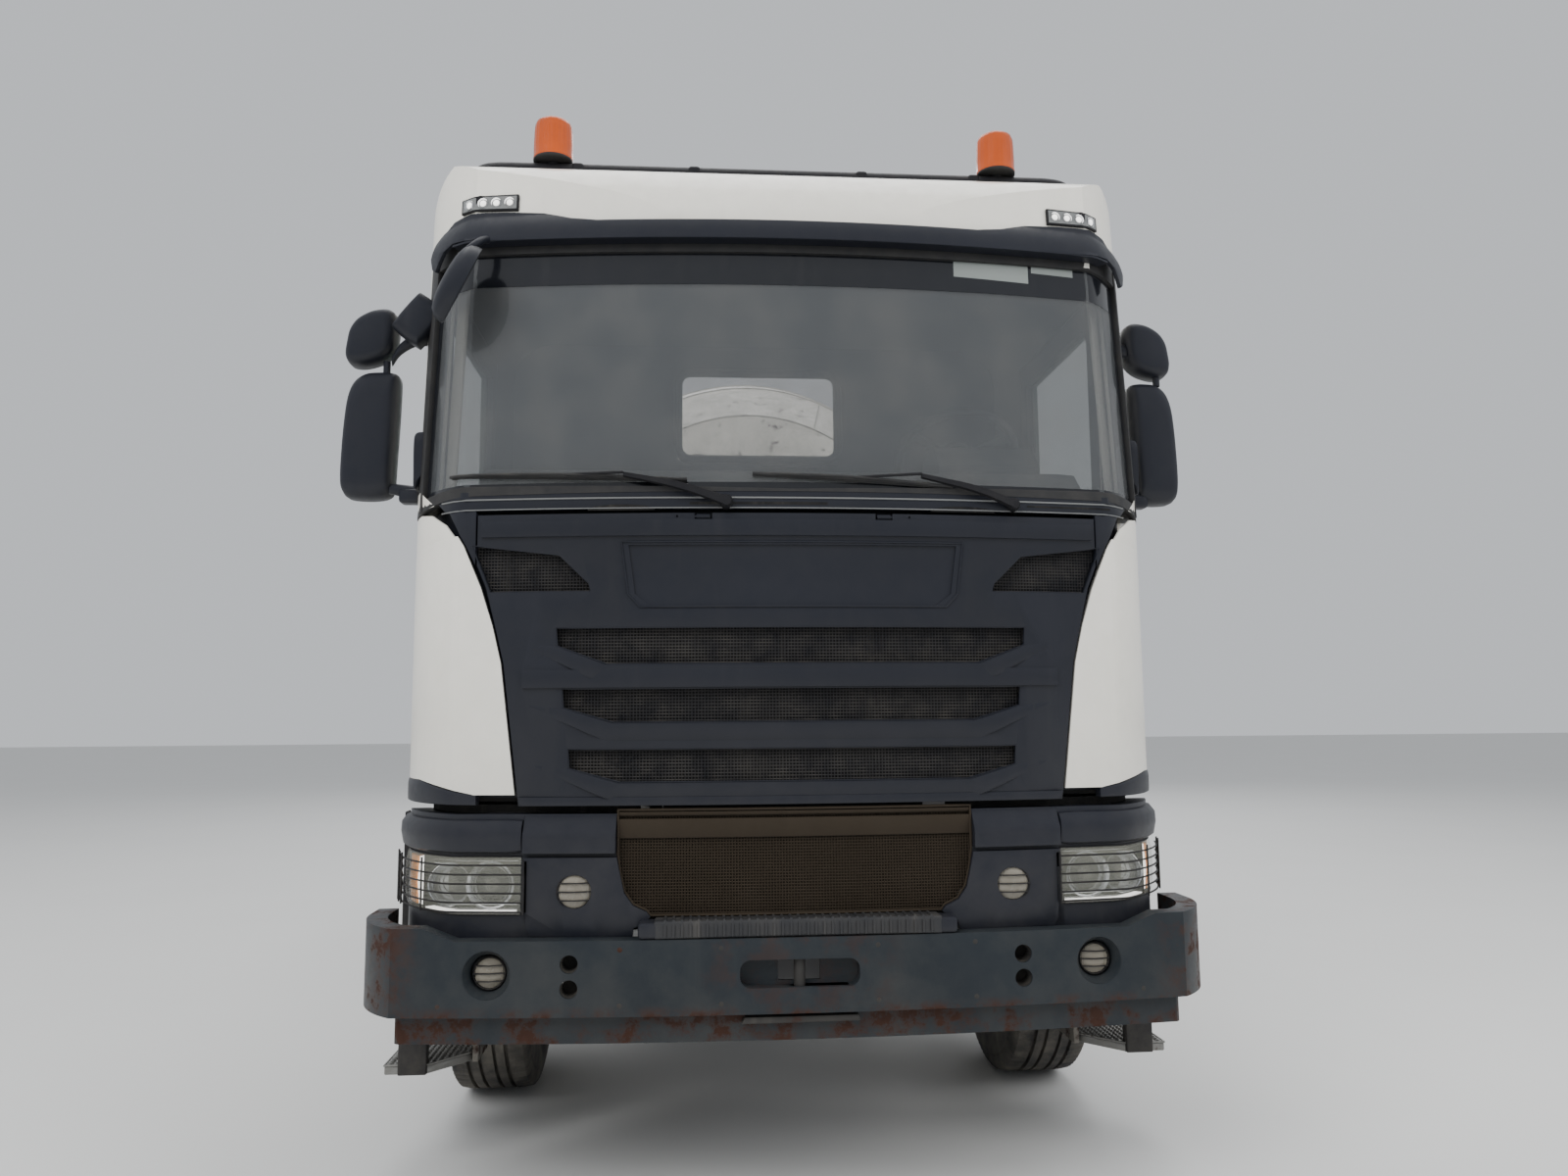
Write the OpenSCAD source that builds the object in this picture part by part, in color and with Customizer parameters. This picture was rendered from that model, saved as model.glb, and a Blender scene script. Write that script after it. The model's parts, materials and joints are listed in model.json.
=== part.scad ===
/* [Chassis] */
// Half width over the outside of the frame rails
rail_x = 390; // [370:5:400]
// Height of the top of the frame rails above the ground
rail_top = 1020; // [1000:5:1030]
// Depth of the frame rails
rail_h = 270; // [240:5:290]
// Width of the rail flanges
rail_flange = 80; // [70:2:90]
// Plate thickness of the rails
rail_t = 9; // [7:1:12]
// Distance from the bumper face to the front end of the rails
rail_front_d = 200; // [190:5:215]
// Length of the rails behind the chute's swivel
rear_overhang = 250; // [245:1:260]
// Height of the mixer subframe on the rails
subframe_h = 120; // [100:5:120]
// Distance from the bumper face to the front end of the subframe
subframe_front_d = 2400; // [2350:10:2450]

/* [Axles] */
// Distance from the bumper face to the first steered axle
axle1_d = 1500; // [1490:5:1520]
// Distance from the first to the second steered axle
axle12 = 1900; // [1880:5:1920]
// Distance from the second steered axle to the first driven axle
axle23 = 2600; // [2580:5:2640]
// Distance between the two driven axles
axle34 = 1350; // [1340:5:1370]
// Half track of the steered wheels at the tyre centre
front_track_x = 1045; // [1035:1:1050]
// Half track of the twin wheels, at the middle of each pair
rear_track_x = 930; // [920:1:935]
// Distance of the kingpin inboard of the tyre centre
kingpin_in = 90; // [85:1:100]
// Radius of the kingpins
kingpin_r = 25; // [20:1:28]
// Radius of the front wheel spindles
spindle_r = 45; // [40:1:50]
// Radius of the driven wheel spindles
rear_spindle_r = 60; // [55:1:65]

/* [Wheels] */
// Outer radius of the tyres
tyre_r = 530; // [520:1:535]
// Width of the tyres
tyre_w = 300; // [290:1:305]
// Radius of the rims at the bead seat
rim_r = 286; // [280:1:290]
// Width between the rim flanges
rim_w = 224; // [215:1:230]
// Distance from the rim centre to the bolting face of the wheel disc
disc_out = 175; // [172:1:178]

/* [Cab] */
// Width over the cab sides
cab_w = 2400; // [2380:2:2410]
// Distance from the bumper face to the middle of the cab front
cab_front_d = 60; // [56:1:66]
// Distance from the bumper face to the rear wall of the cab
cab_rear_d = 2050; // [2000:10:2080]
// Radius of the cab front as seen from above
cab_front_r = 6000; // [5600:100:7000]
// Radius of the cab front corners as seen from above
cab_corner_r = 480; // [460:5:500]
// Height of the cab underside at its front
cab_bottom = 1200; // [1195:1:1210]
// Height of the lower edge of the windscreen
screen_z = 2080; // [2070:2:2090]
// Height of the roof
roof_z = 3240; // [3220:5:3260]
// Thickness of the cab walls and doors
cab_wall = 50; // [44:1:56]
// Thickness of the front panels outside the cab wall
skin_t = 35; // [30:1:38]
// Rake of the windscreen from upright, in degrees
screen_rake = 6; // [5:0.5:7]
// Distance of the cab tilt pivot from the bumper face
tilt_d = 150; // [148:1:154]
// Height of the cab tilt pivot
tilt_z = 950; // [945:1:955]
// Radius of the cab tilt pins
tilt_pin_r = 20; // [18:1:24]
// Distance from the bumper face to the front edge of the doors
door_front_d = 626; // [620:1:634]
// Length of the doors
door_l = 930; // [900:5:950]
// Distance of the steering column's foot from the middle
wheel_x = 740; // [700:5:760]
// Angle of the steering column from upright, in degrees
column_tilt = 35; // [30:1:40]
// Length of the steering column
column_l = 330; // [320:2:340]
// Radius of the steering wheel
steering_r = 230; // [210:2:240]
// Radius of the door and hatch hinge pins
hinge_r = 6; // [5:0.5:7]

/* [Front] */
// How far the bumper stands out beside the cab
bumper_out = 65; // [62:1:67]
// Height of the lower edge of the bumper
bumper_bottom = 610; // [600:2:620]
// Height of the upper edge of the bumper
bumper_top = 815; // [808:1:818]
// Thickness of the bumper from front to back
bumper_t = 60; // [55:1:64]
// Height of the lower edge of the lower grille and lamps
low_front_z = 871; // [870:1:876]
// Height of the upper edge of the panels below the cab
low_front_top = 1155; // [1148:1:1158]
// Half width of the lower grille
low_grille_x = 514; // [500:2:524]
// Height of the lower edge of the hatch
hatch_bottom = 1178; // [1176:1:1184]
// Height of the upper edge of the hatch
hatch_top = 2030; // [2026:1:2032]

/* [Drum] */
// Distance from the bumper face to the drive flange of the drum
drum_d = 2750; // [2740:5:2780]
// Height of the drive flange of the drum
drum_z = 2120; // [2110:5:2150]
// Upward slope of the drum axis towards the rear, in degrees
drum_tilt = 12; // [11.5:0.25:12.5]
// Largest outer radius of the drum
drum_r = 1150; // [1130:5:1155]
// Length of the drum along its axis
drum_l = 4850; // [4800:10:4870]
// Outer radius of the drum at its mouth
mouth_r = 560; // [540:5:570]
// Thickness of the drum plate
drum_t = 8; // [6:1:10]
// Outer radius of the roller ring
ring_r = 960; // [950:2:970]
// Distance of the roller ring along the axis
ring_at = 3750; // [3740:5:3770]
// Radius of the support rollers
roller_r = 130; // [125:1:135]
// Angle of each roller from the lowest point of the ring
roller_angle = 35; // [34:0.5:36]
// Radius of the drive shaft of the drum
drive_shaft_r = 80; // [70:1:90]

/* [Chute] */
// Distance of the chute's swivel behind the drum's mouth
chute_behind = 556; // [545:1:565]
// Height of the tilt pins of the chute
chute_z = 1700; // [1690:1:1710]
// Outer radius of the chute trough
chute_r = 230; // [220:1:236]
// Length of the chute behind its tilt pins
chute_l = 1080; // [1060:5:1100]
// Downward slope of the parked chute, in degrees
chute_slope = 15; // [14:0.5:16]
// Length of the folded end chute
end_l = 800; // [780:5:820]
// Radius of the chute pins
chute_pin_r = 15; // [13:1:17]

/* [Hidden] */
$fn = 96;
run_fit = 0.05;
seat = 0.3;
shut_gap = 6;
big = 12000;
cream = [0.93, 0.91, 0.84];
slate = [0.2, 0.22, 0.26];
steel_dark = [0.18, 0.19, 0.2];
black = [0.08, 0.08, 0.09];

axle2_d = axle1_d + axle12;
axle3_d = axle2_d + axle23;
axle4_d = axle3_d + axle34;
bogie_d = (axle3_d + axle4_d) / 2;
mouth_d = drum_d + drum_l * cos(drum_tilt);
mouth_z = drum_z + drum_l * sin(drum_tilt);
swivel_d = mouth_d + chute_behind;
rail_rear_d = swivel_d + rear_overhang;
bumper_w = cab_w + 2 * bumper_out;
rail_bottom = rail_top - rail_h;
subframe_top = rail_top + subframe_h;
cab_x = cab_w / 2;
end_r = chute_r - 8;
chute_tip_d = swivel_d + chute_l * cos(chute_slope);
rear_d = chute_tip_d + end_r * sin(chute_slope);
origin_d = rear_d / 2;
kingpin_x = front_track_x - kingpin_in;
door_z = cab_bottom + 10;
door_top = 2950;
door_rear_d = door_front_d + door_l;
door_hinge_x = cab_x - 10;
door_hinge_d = door_front_d + 6;
hinge_lug_r = 10;
tilt_eye_r = 30;
hatch_hinge_d = cab_front_d + 15;
hatch_hinge_z = hatch_top - 10;
jamb_d = door_front_d - 36;
hatch_x = cab_x - 262;
column_foot = [wheel_x, 900, 2170];
column_r = 22;
post_d = swivel_d - 350;
post_x = 700;
post_top = mouth_z + 172;
step_rear_d = axle1_d - tyre_r - 75;
step_l = 285;
tank_d = [axle2_d + 730, axle3_d - 720];

// Everything is drawn with Y as the distance behind the bumper face, then moved to the middle of the length
module placed() { translate([0, -origin_d, 0]) children(); }
module both() { children(); mirror([1, 0, 0]) children(); }
module block(x0, x1, y0, y1, z0, z1) { translate([x0, y0, z0]) cube([x1 - x0, y1 - y0, z1 - z0]); }
module along_x(x0, x1) { translate([x0, 0, 0]) rotate([90, 0, 90]) linear_extrude(x1 - x0) children(); }
module along_y(y0, y1) { translate([0, y1, 0]) rotate([90, 0, 0]) linear_extrude(y1 - y0) children(); }
module along_z(z0, z1) { translate([0, 0, z0]) linear_extrude(z1 - z0) children(); }
module rod_x(x0, x1, y, z, r) { translate([x0, y, z]) rotate([0, 90, 0]) cylinder(r=r, h=x1 - x0); }
module rod_y(x, y0, y1, z, r) { translate([x, y0, z]) rotate([-90, 0, 0]) cylinder(r=r, h=y1 - y0); }
module rod_z(x, y, z0, z1, r) { translate([x, y, z0]) cylinder(r=r, h=z1 - z0); }
module mirrored(points) {
  last = len(points) - 1;
  polygon([for (p = points) p, for (i = [last:-1:0]) [-points[i][0], points[i][1]]]);
}
module rounded(w, h, r) {
  translate([r, 0]) square([w - 2 * r, h]);
  translate([0, r]) square([w, h - 2 * r]);
  for (x = [r, w - r]) for (y = [r, h - r]) translate([x, y]) circle(r=r);
}

// Outline of the cab as seen from above, inset by i
module cab_plan(i) {
  intersection() {
    translate([0, cab_front_d + cab_front_r]) circle(r=cab_front_r - i, $fn=720);
    union() {
      x = cab_x - i;
      r = cab_corner_r - i;
      side_d = cab_front_d + cab_corner_r;
      translate([-x, side_d]) square([2 * x, cab_rear_d - i - side_d]);
      translate([-x + r, cab_front_d + i]) square([2 * (x - r), cab_corner_r]);
      for (s = [-1, 1]) translate([s * (x - r), side_d]) circle(r=r, $fn=192);
    }
  }
}
module cab_ring(i0, i1, z0, z1) {
  along_z(z0, z1) difference() {
    cab_plan(i0);
    cab_plan(i1);
  }
}
// Cab above the windscreen's lower edge, raked back about that edge
module raked() {
  foot = [0, cab_front_d, screen_z];
  translate(foot) rotate([-screen_rake, 0, 0]) translate(-foot) children();
}
module cab_upper(i) {
  top = roof_z - i;
  intersection() {
    raked() along_z(screen_z - 250, roof_z + 250) cab_plan(i);
    along_x(-cab_x, cab_x) {
      translate([0, screen_z]) square([cab_rear_d - i, top - 260 - screen_z]);
      translate([430, top - 300]) square([cab_rear_d - i - 430, 300]);
      translate([430, top - 260]) intersection() {
        circle(r=260);
        translate([-300, -300]) square([300, 600]);
      }
    }
    along_y(0, cab_rear_d) {
      translate([-cab_x + i, 0]) square([cab_w - 2 * i, top - 190]);
      translate([-cab_x + i + 190, 0]) square([cab_w - 2 * i - 380, top]);
      for (s = [-1, 1]) translate([s * (cab_x - i - 190), top - 190]) circle(r=190);
    }
  }
}
module cab_lower(i, front_i, z0) {
  split_d = jamb_d + (i > 0 ? cab_wall : 0);
  along_z(z0, screen_z) {
    intersection() {
      cab_plan(front_i);
      translate([-cab_x, 0]) square([cab_w, split_d]);
    }
    intersection() {
      cab_plan(i);
      translate([-cab_x, split_d]) square([cab_w, cab_rear_d]);
    }
  }
}
module arch_cut(d, x0, x1) { rod_x(x0, x1, d, tyre_r, tyre_r + 115); }
// The door's lower rear corner is cut off above the wheel
door_cut_d = 330;
door_cut_z = 260;
module door_prism(g, x0, x1) {
  along_x(x0, x1) polygon([
    [door_front_d - g, door_z - g], [door_rear_d - door_cut_d + g, door_z - g],
    [door_rear_d + g, door_z + door_cut_z - g], [door_rear_d + g, door_top + g],
    [door_front_d - g, door_top + g]]);
}
window_z = [screen_z, 2860];
window_border = 80;
module door_window(g, x0, x1) {
  low = window_z[0] - g;
  high = window_z[1] + g;
  front = door_front_d + window_border + 10 - g;
  rear = door_rear_d - window_border + g;
  along_x(x0, x1) polygon([[front, low], [rear, low], [rear, high], [front + 40, high],
    [front, high - 60]]);
}
screen_points = [[cab_x - 50, screen_z + 20], [cab_x - 73, 2880]];
screen_depth = 620;
rear_window_x = 380;
rear_window_z = [2640, 3060];

module rear_window(g) {
  mirrored([[rear_window_x - g, rear_window_z[0] + g], [rear_window_x - g, rear_window_z[1] - g]]);
}
module cab_walls() {
  difference() {
    union() {
      cab_lower(0, skin_t + 25, cab_bottom);
      cab_upper(0);
    }
    cab_lower(cab_wall, skin_t + 25 + cab_wall, cab_bottom + cab_wall);
    cab_upper(cab_wall);
  }
}
// Shelf that joins the wall behind the front panels to the windscreen frame
module cowl_shelf() {
  intersection() {
    cab_ring(4, skin_t + 30 + cab_wall, screen_z, screen_z + 20);
    block(-cab_x, cab_x, 0, jamb_d + cab_wall, 0, big);
  }
}
door_hinge_z = [1450, 2000];
module hinge_lug(d0, d1, z0, z1) { block(door_hinge_x - hinge_lug_r, door_hinge_x + hinge_lug_r, d0, d1, z0, z1); }
module cab_shell() {
  color(cream) placed() {
    difference() {
      union() {
        cab_walls();
        cowl_shelf();
      }
      both() door_prism(shut_gap, cab_x - cab_wall - 30, cab_x + 10);
      both() translate([door_hinge_x, door_front_d]) block(-60, 15, -shut_gap - 5, 0, door_z - 10, door_top);
      along_y(0, screen_depth) mirrored(screen_points);
      along_y(cab_rear_d - 100, cab_rear_d + 10) rear_window(0);
      both() arch_cut(axle1_d, 800, cab_x + 10);
    }
    both() for (z = door_hinge_z) {
      rod_z(door_hinge_x, door_hinge_d, z, z + 40, hinge_lug_r);
      rod_z(door_hinge_x, door_hinge_d, z, z + 90, hinge_r);
      hinge_lug(door_front_d - 30, door_hinge_d, z, z + 40);
    }
    both() {
      arm_top = cab_bottom + 20 - tilt_z;
      difference() {
        along_x(400, 440) {
          translate([tilt_d, tilt_z]) circle(r=tilt_eye_r);
          translate([tilt_d, tilt_z])
            polygon([[0, 25], [0, -25], [370, 70], [410, arm_top], [330, arm_top], [300, 112]]);
        }
        rod_x(390, 450, tilt_d, tilt_z, tilt_pin_r + run_fit);
      }
      block(250, 290, hatch_hinge_d, cab_front_d + 100, hatch_hinge_z - 9, hatch_hinge_z + 9);
      rod_x(250, 290, hatch_hinge_d, hatch_hinge_z, 9);
      rod_x(250, 345, hatch_hinge_d, hatch_hinge_z, hinge_r);
    }
  }
}
module cab_glass() {
  color([0.55, 0.6, 0.62, 0.5]) placed() {
    intersection() {
      raked() along_z(screen_z - 100, roof_z) difference() {
        cab_plan(12);
        cab_plan(18);
      }
      along_y(0, screen_depth) mirrored([screen_points[0] + [-seat, seat], screen_points[1] - [seat, seat]]);
    }
    along_y(cab_rear_d - 30, cab_rear_d - 24) rear_window(seat);
  }
}

// Outlines on the cab front are written as width from the middle and height
hatch_side = [[801, hatch_bottom], [822, 1340], [834, 1440], [853, 1590], [880, 1700], [910, 1815],
  [hatch_x, 1880],
  [hatch_x, hatch_top]];
slot_rows = [[701, 1693, 1638, 1583], [681, 1515, 1458, 1414], [662, 1341, 1284, 1243]];
module slot_shape(s) {
  mirrored([[s[0] - 150, s[3]], [s[0] - 4, s[2]], [s[0], s[1]]]);
}
module vent_shape() {
  polygon([[600, 1798], [897, 1798], [955, 1940], [693, 1908], [605, 1823]]);
}
// Blades across the hatch: half width, lower and upper edge
blades = [[925, 1962, 2010], [797, 1517, 1569]];
blade_out = 9;
module hatch() {
  color(slate) placed() {
    for (b = blades) intersection() {
      cab_ring(-blade_out, 10, b[1], b[2]);
      block(-b[0], b[0], 0, 400, b[1], b[2]);
    }
    difference() {
      intersection() {
        cab_ring(0, skin_t, hatch_bottom, hatch_top);
        along_y(0, 400) mirrored(hatch_side);
      }
      along_y(0, 400) {
        for (s = slot_rows) slot_shape(s);
        vent_shape();
        mirror([1, 0]) vent_shape();
      }
      intersection() {
        along_y(0, 400) mirrored([[420, 1750], [470, 1790], [490, 1935]]);
        cab_ring(-10, 8, 1700, 2000);
      }
      both() block(244, 296, 0, 400, hatch_hinge_z - 22, hatch_top + 5);
      both() rod_x(290, 350, hatch_hinge_d, hatch_hinge_z, hinge_r + run_fit);
      both() block(296, 350, hatch_hinge_d + 10, 400, hatch_hinge_z - 22, hatch_top + 5);
    }
  }
}
module hatch_mesh() {
  color(black) placed() {
    intersection() {
      cab_ring(skin_t, skin_t + 8, 1225, 1965);
      along_y(0, 400) mirrored([[700, 1225], [740, 1720], [890, 1780], [930, 1965]]);
    }
  }
}
// Lower edge of a corner panel, above the black trim
trim_line = [[cab_x + 100, 1250], [cab_x - 80, 1250], [cab_x - 260, 1212]];
module corner_panels() {
  color(cream) placed() {
    both() difference() {
      intersection() {
        cab_ring(0, skin_t, 1210, 2140);
        along_y(0, jamb_d) polygon([
          for (p = hatch_side) if (p[1] < 1850) [p[0] + (p[1] > 1750 ? 16 : 8), p[1]],
          [cab_x - 220, 1940], [cab_x - 160, hatch_top], [cab_x - 40, 2140], [cab_x + 100, 2140],
          for (p = trim_line) p, [810, hatch_bottom]]);
      }
      cab_ring(skin_t - 15, skin_t + 40, screen_z, 2200);
      raked() along_z(screen_z - 100, roof_z) cab_plan(-0.3);
    }
  }
}
// Wipers: place across, distance behind the bumper face, turn seen from above, length
cowl_gap = 14;
wiper_lean = 83;
wipers = [[-213, 40, -5.5, 825], [679, 78, 2.6, 790]];
module cowl() {
  color(black) placed() {
    intersection() {
      cab_ring(2, skin_t + 25 - seat, hatch_top + cowl_gap, screen_z);
      along_y(0, jamb_d) mirrored([[1036, hatch_top], [1080, screen_z]]);
    }
    both() intersection() {
      cab_ring(2, skin_t, 1870, hatch_top + cowl_gap + 1);
      along_y(0, jamb_d) polygon([[hatch_x + shut_gap, 1880], [974, 1940], [1034, hatch_top + cowl_gap + 1],
        [hatch_x + shut_gap, hatch_top + cowl_gap + 1]]);
    }
    both() intersection() {
      cab_ring(-5, skin_t + 25 - seat, 1180, 1260);
      along_y(0, jamb_d)
        polygon([[cab_x - 275, 1180], [cab_x - 275, 1208 - seat], for (i = [2:-1:0]) trim_line[i] - [0, seat],
          [cab_x + 100, 1180]]);
    }
    for (w = wipers) {
      rod_y(w[0], w[1] - 8, cab_front_d + 55, screen_z - 20, 12);
      translate([w[0], w[1], screen_z - 20]) rotate([0, -wiper_lean, w[2]]) block(-9, 9, -8, 0, 0, w[3]);
    }
  }
}
module visor() {
  color(slate) placed() raked() {
    intersection() {
      cab_ring(-visor_out, -visor_back, 2800, 3100);
      along_y(-100, 430) mirrored(visor_shape);
    }
    both() {
      intersection() {
        cab_ring(-visor_out + 5, -seat, 2895, 2930);
        block(700, 760, -100, 400, 0, big);
      }
      intersection() {
        cab_ring(-visor_out + 12, -seat, 2970, 3070);
        translate([cab_x - 350, 0]) along_y(-100, 400) polygon([[0, 2985], [162, 2975], [162, 3052], [0, 3062]]);
      }
    }
  }
}
bar_d = 620;
bar_x = 1000;
bar_r = 36;
bar_z = roof_z + 100;
beacon_x = 800;
beacon_r = 70;
beacon_round = 30;
module roof_bar() {
  color(black) placed() {
    rod_x(-bar_x, bar_x, bar_d, bar_z, bar_r);
    both() {
      translate([bar_x - 14, bar_d, bar_z]) rotate([0, 125, 0]) cylinder(r=bar_r - 3, h=90);
      block(680, 740, bar_d - 30, bar_d + 30, roof_z + seat, bar_z);
      rod_z(beacon_x, bar_d, bar_z, bar_z + 45, 30);
    }
  }
}
module beacons() {
  z = bar_z + 45 + seat;
  color([0.95, 0.55, 0.1]) placed() both() {
    rod_z(beacon_x, bar_d, z, z + 30, beacon_r - 8);
    translate([beacon_x, bar_d, z + 30]) rotate_extrude() {
      square([beacon_r, 130 - beacon_round]);
      square([beacon_r - beacon_round, 130]);
      translate([beacon_r - beacon_round, 130 - beacon_round]) intersection() {
        circle(r=beacon_round);
        square(beacon_round);
      }
    }
  }
}
// Side outlines in the cab as distance behind the bumper face and height
floor_z = cab_bottom + cab_wall;
dash_x = 980;
dash_shape = [[450, floor_z], [450, 1900], [390, 2000], [330, 2150], [420, 2230], [600, 2275],
  [710, 2290], [735, 2250],
  [700, 2100], [640, 2000], [640, 1900], [580, floor_z]];
cluster_x = [560, 920];
cluster_shape = [[600, 1950], [600, 2300], [690, 2390], [800, 2410], [880, 2370], [930, 2260],
  [930, 2150], [860, 2000],
  [800, 1950]];
tunnel_h = 190;
seat_at = [-870, 440];
seat_w = 520;
cushion_shape = [[1230, 1580], [1250, 1625], [1330, 1640], [1650, 1605], [1720, 1590], [1720, 1480],
  [1300, 1480],
  [1240, 1520]];
back_shape = [[1690, 1490], [1650, 1600], [1640, 1680], [1700, 1900], [1750, 2200], [1765, 2370],
  [1800, 2410],
  [1850, 2410], [1880, 2370], [1870, 2200], [1840, 1900], [1800, 1600], [1780, 1490]];
module cab_interior() {
  color(steel_dark) placed() {
    along_x(-dash_x, dash_x) polygon(dash_shape);
    along_x(cluster_x[0], cluster_x[1]) polygon(cluster_shape);
    along_y(500, cab_rear_d - cab_wall) mirrored([[340, floor_z], [290, floor_z + tunnel_h]]);
    for (x = seat_at) {
      block(x + 90, x + seat_w - 90, 1340, 1680, floor_z, 1500);
      along_x(x, x + seat_w) polygon(cushion_shape);
      along_x(x + 10, x + seat_w - 10) polygon(back_shape);
    }
    on_column() cylinder(r=column_r, h=column_l);
  }
}
module on_column() { translate(column_foot) rotate([-column_tilt, 0, 0]) children(); }
module steering_wheel() {
  color(black) placed() on_column() difference() {
    union() {
      translate([0, 0, column_l + 10]) rotate_extrude() translate([steering_r, 0]) circle(r=16, $fn=24);
      translate([0, 0, column_l]) cylinder(r=70, h=25);
      for (a = [90:120:330]) rotate([0, 0, a]) block(0, steering_r - 2, -15, 15, column_l + 3, column_l + 15);
      translate([0, 0, column_l - 40]) cylinder(r=34, h=45);
    }
    translate([0, 0, column_l - 50]) cylinder(r=column_r + run_fit, h=50 + run_fit);
  }
}
visor_out = 45;
visor_back = 8;
visor_shape = [[cab_x - 200, 2880], [cab_x - 50, 2850], [cab_x - 50, 2955], [cab_x - 90, 2990], [cab_x - 220, 3005],
  [cab_x - 550, 3000], [cab_x - 610, 2975], [cab_x - 730, 2960]];
// Mirror heads: width, height, depth
main_mirror = [220, 460, 90];
wide_mirror = [190, 205, 90];
kerb_mirror = [150, 240, 80];
front_mirror = [115, 165, 70];
mirror_d = 470;
mirror_glass_t = 5;
mirror_rim = 14;
arm_r = 14;
arm_d = mirror_d + 45;
module mirror_head(m) {
  bulge_r = m[0] * 0.75;
  translate([-m[0] / 2, 0, 0]) difference() {
    intersection() {
      along_y(0, m[2]) rounded(m[0], m[1], m[0] * 0.32);
      rod_z(m[0] / 2, bulge_r, 0, m[1], bulge_r);
    }
    translate([mirror_rim, 0, mirror_rim]) along_y(m[2] - mirror_glass_t, m[2] + 1)
      rounded(m[0] - 2 * mirror_rim, m[1] - 2 * mirror_rim, m[0] * 0.25);
  }
}
module tube(a, b, r) {
  v = b - a;
  translate(a) {
    sphere(r=r, $fn=24);
    rotate([0, acos(v[2] / norm(v)), atan2(v[1], v[0])]) cylinder(r=r, h=norm(v));
  }
  translate(b) sphere(r=r, $fn=24);
}
main_mirror_x = cab_x + 160;
mirror_join_z = 2645;
module mirrors() {
  color(slate) placed() {
    both() {
      translate([main_mirror_x, mirror_d, mirror_join_z - 5 - main_mirror[1]]) mirror_head(main_mirror);
      translate([main_mirror_x, mirror_d, mirror_join_z + 5]) mirror_head(wide_mirror);
      block(cab_x - 5.5, cab_x + 15, arm_d - 15, arm_d + 15, 2690, 2730);
      tube([cab_x + 10, arm_d, 2710], [cab_x + 80, arm_d, 2690], arm_r);
      tube([cab_x + 80, arm_d, 2690], [main_mirror_x, arm_d, mirror_join_z], arm_r);
      block(cab_x + seat, cab_x + 26, arm_d - 15, arm_d + 15, 2170, 2210);
      tube([cab_x + 24, arm_d, 2190], [main_mirror_x - 30, arm_d, 2200], arm_r);
    }
    mirror([1, 0, 0]) {
      translate([cab_x + 40, mirror_d - 70, 2720]) rotate([0, 20, 0]) mirror_head(front_mirror);
      tube([cab_x + 60, mirror_d - 30, 2790], [main_mirror_x - 50, arm_d, 2760], arm_r);
    }
    raked() {
      translate([-1045, 15, 2625]) rotate([0, 20, 0]) mirror_head(kerb_mirror);
      block(-960, -930, 85, 115, 2830, visor_shape[0][1] - seat);
      tube([-985, 60, 2830], [-945, 100, 2845], 11);
    }
  }
}
module door_panel() {
  difference() {
    union() {
      difference() {
        intersection() {
          cab_walls();
          door_prism(0, cab_x - cab_wall - 30, cab_x + 10);
        }
        door_window(0, cab_x - 300, cab_x + 10);
        arch_cut(axle1_d, 800, cab_x + 10);
        for (z = door_hinge_z) block(door_hinge_x - 30, cab_x + 5, 0, door_front_d + 30, z - 6, z + 94);
      }
      for (z = door_hinge_z) {
        rod_z(door_hinge_x, door_hinge_d, z + 40 + seat, z + 80, hinge_lug_r);
        hinge_lug(door_hinge_d, door_front_d + 40, z + 50, z + 70);
      }
    }
    for (z = door_hinge_z) rod_z(door_hinge_x, door_hinge_d, z + 30, z + 95, hinge_r + run_fit);
  }
}
module door_pane() {
  intersection() {
    difference() {
      cab_upper(20);
      cab_upper(26);
    }
    door_window(-seat, cab_x - 300, cab_x + 10);
  }
}
module door_left() { color(cream) placed() door_panel(); }
module door_right() { color(cream) placed() mirror([1, 0, 0]) door_panel(); }
module door_glass_left() { color([0.55, 0.6, 0.62, 0.5]) placed() door_pane(); }
module door_glass_right() { color([0.55, 0.6, 0.62, 0.5]) placed() mirror([1, 0, 0]) door_pane(); }

module bumper_plan(i) {
  intersection() {
    translate([0, 9400]) circle(r=9400 - i, $fn=360);
    translate([-bumper_w, 0]) square([2 * bumper_w, 420]);
    union() {
      x = bumper_w / 2 - i;
      r = 330 - i;
      translate([-x, 330]) square([2 * x, 90]);
      translate([-x + r, i]) square([2 * (x - r), 330]);
      for (s = [-1, 1]) translate([s * (x - r), 330]) circle(r=r);
    }
  }
}
bumper_rise = 35;
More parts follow.
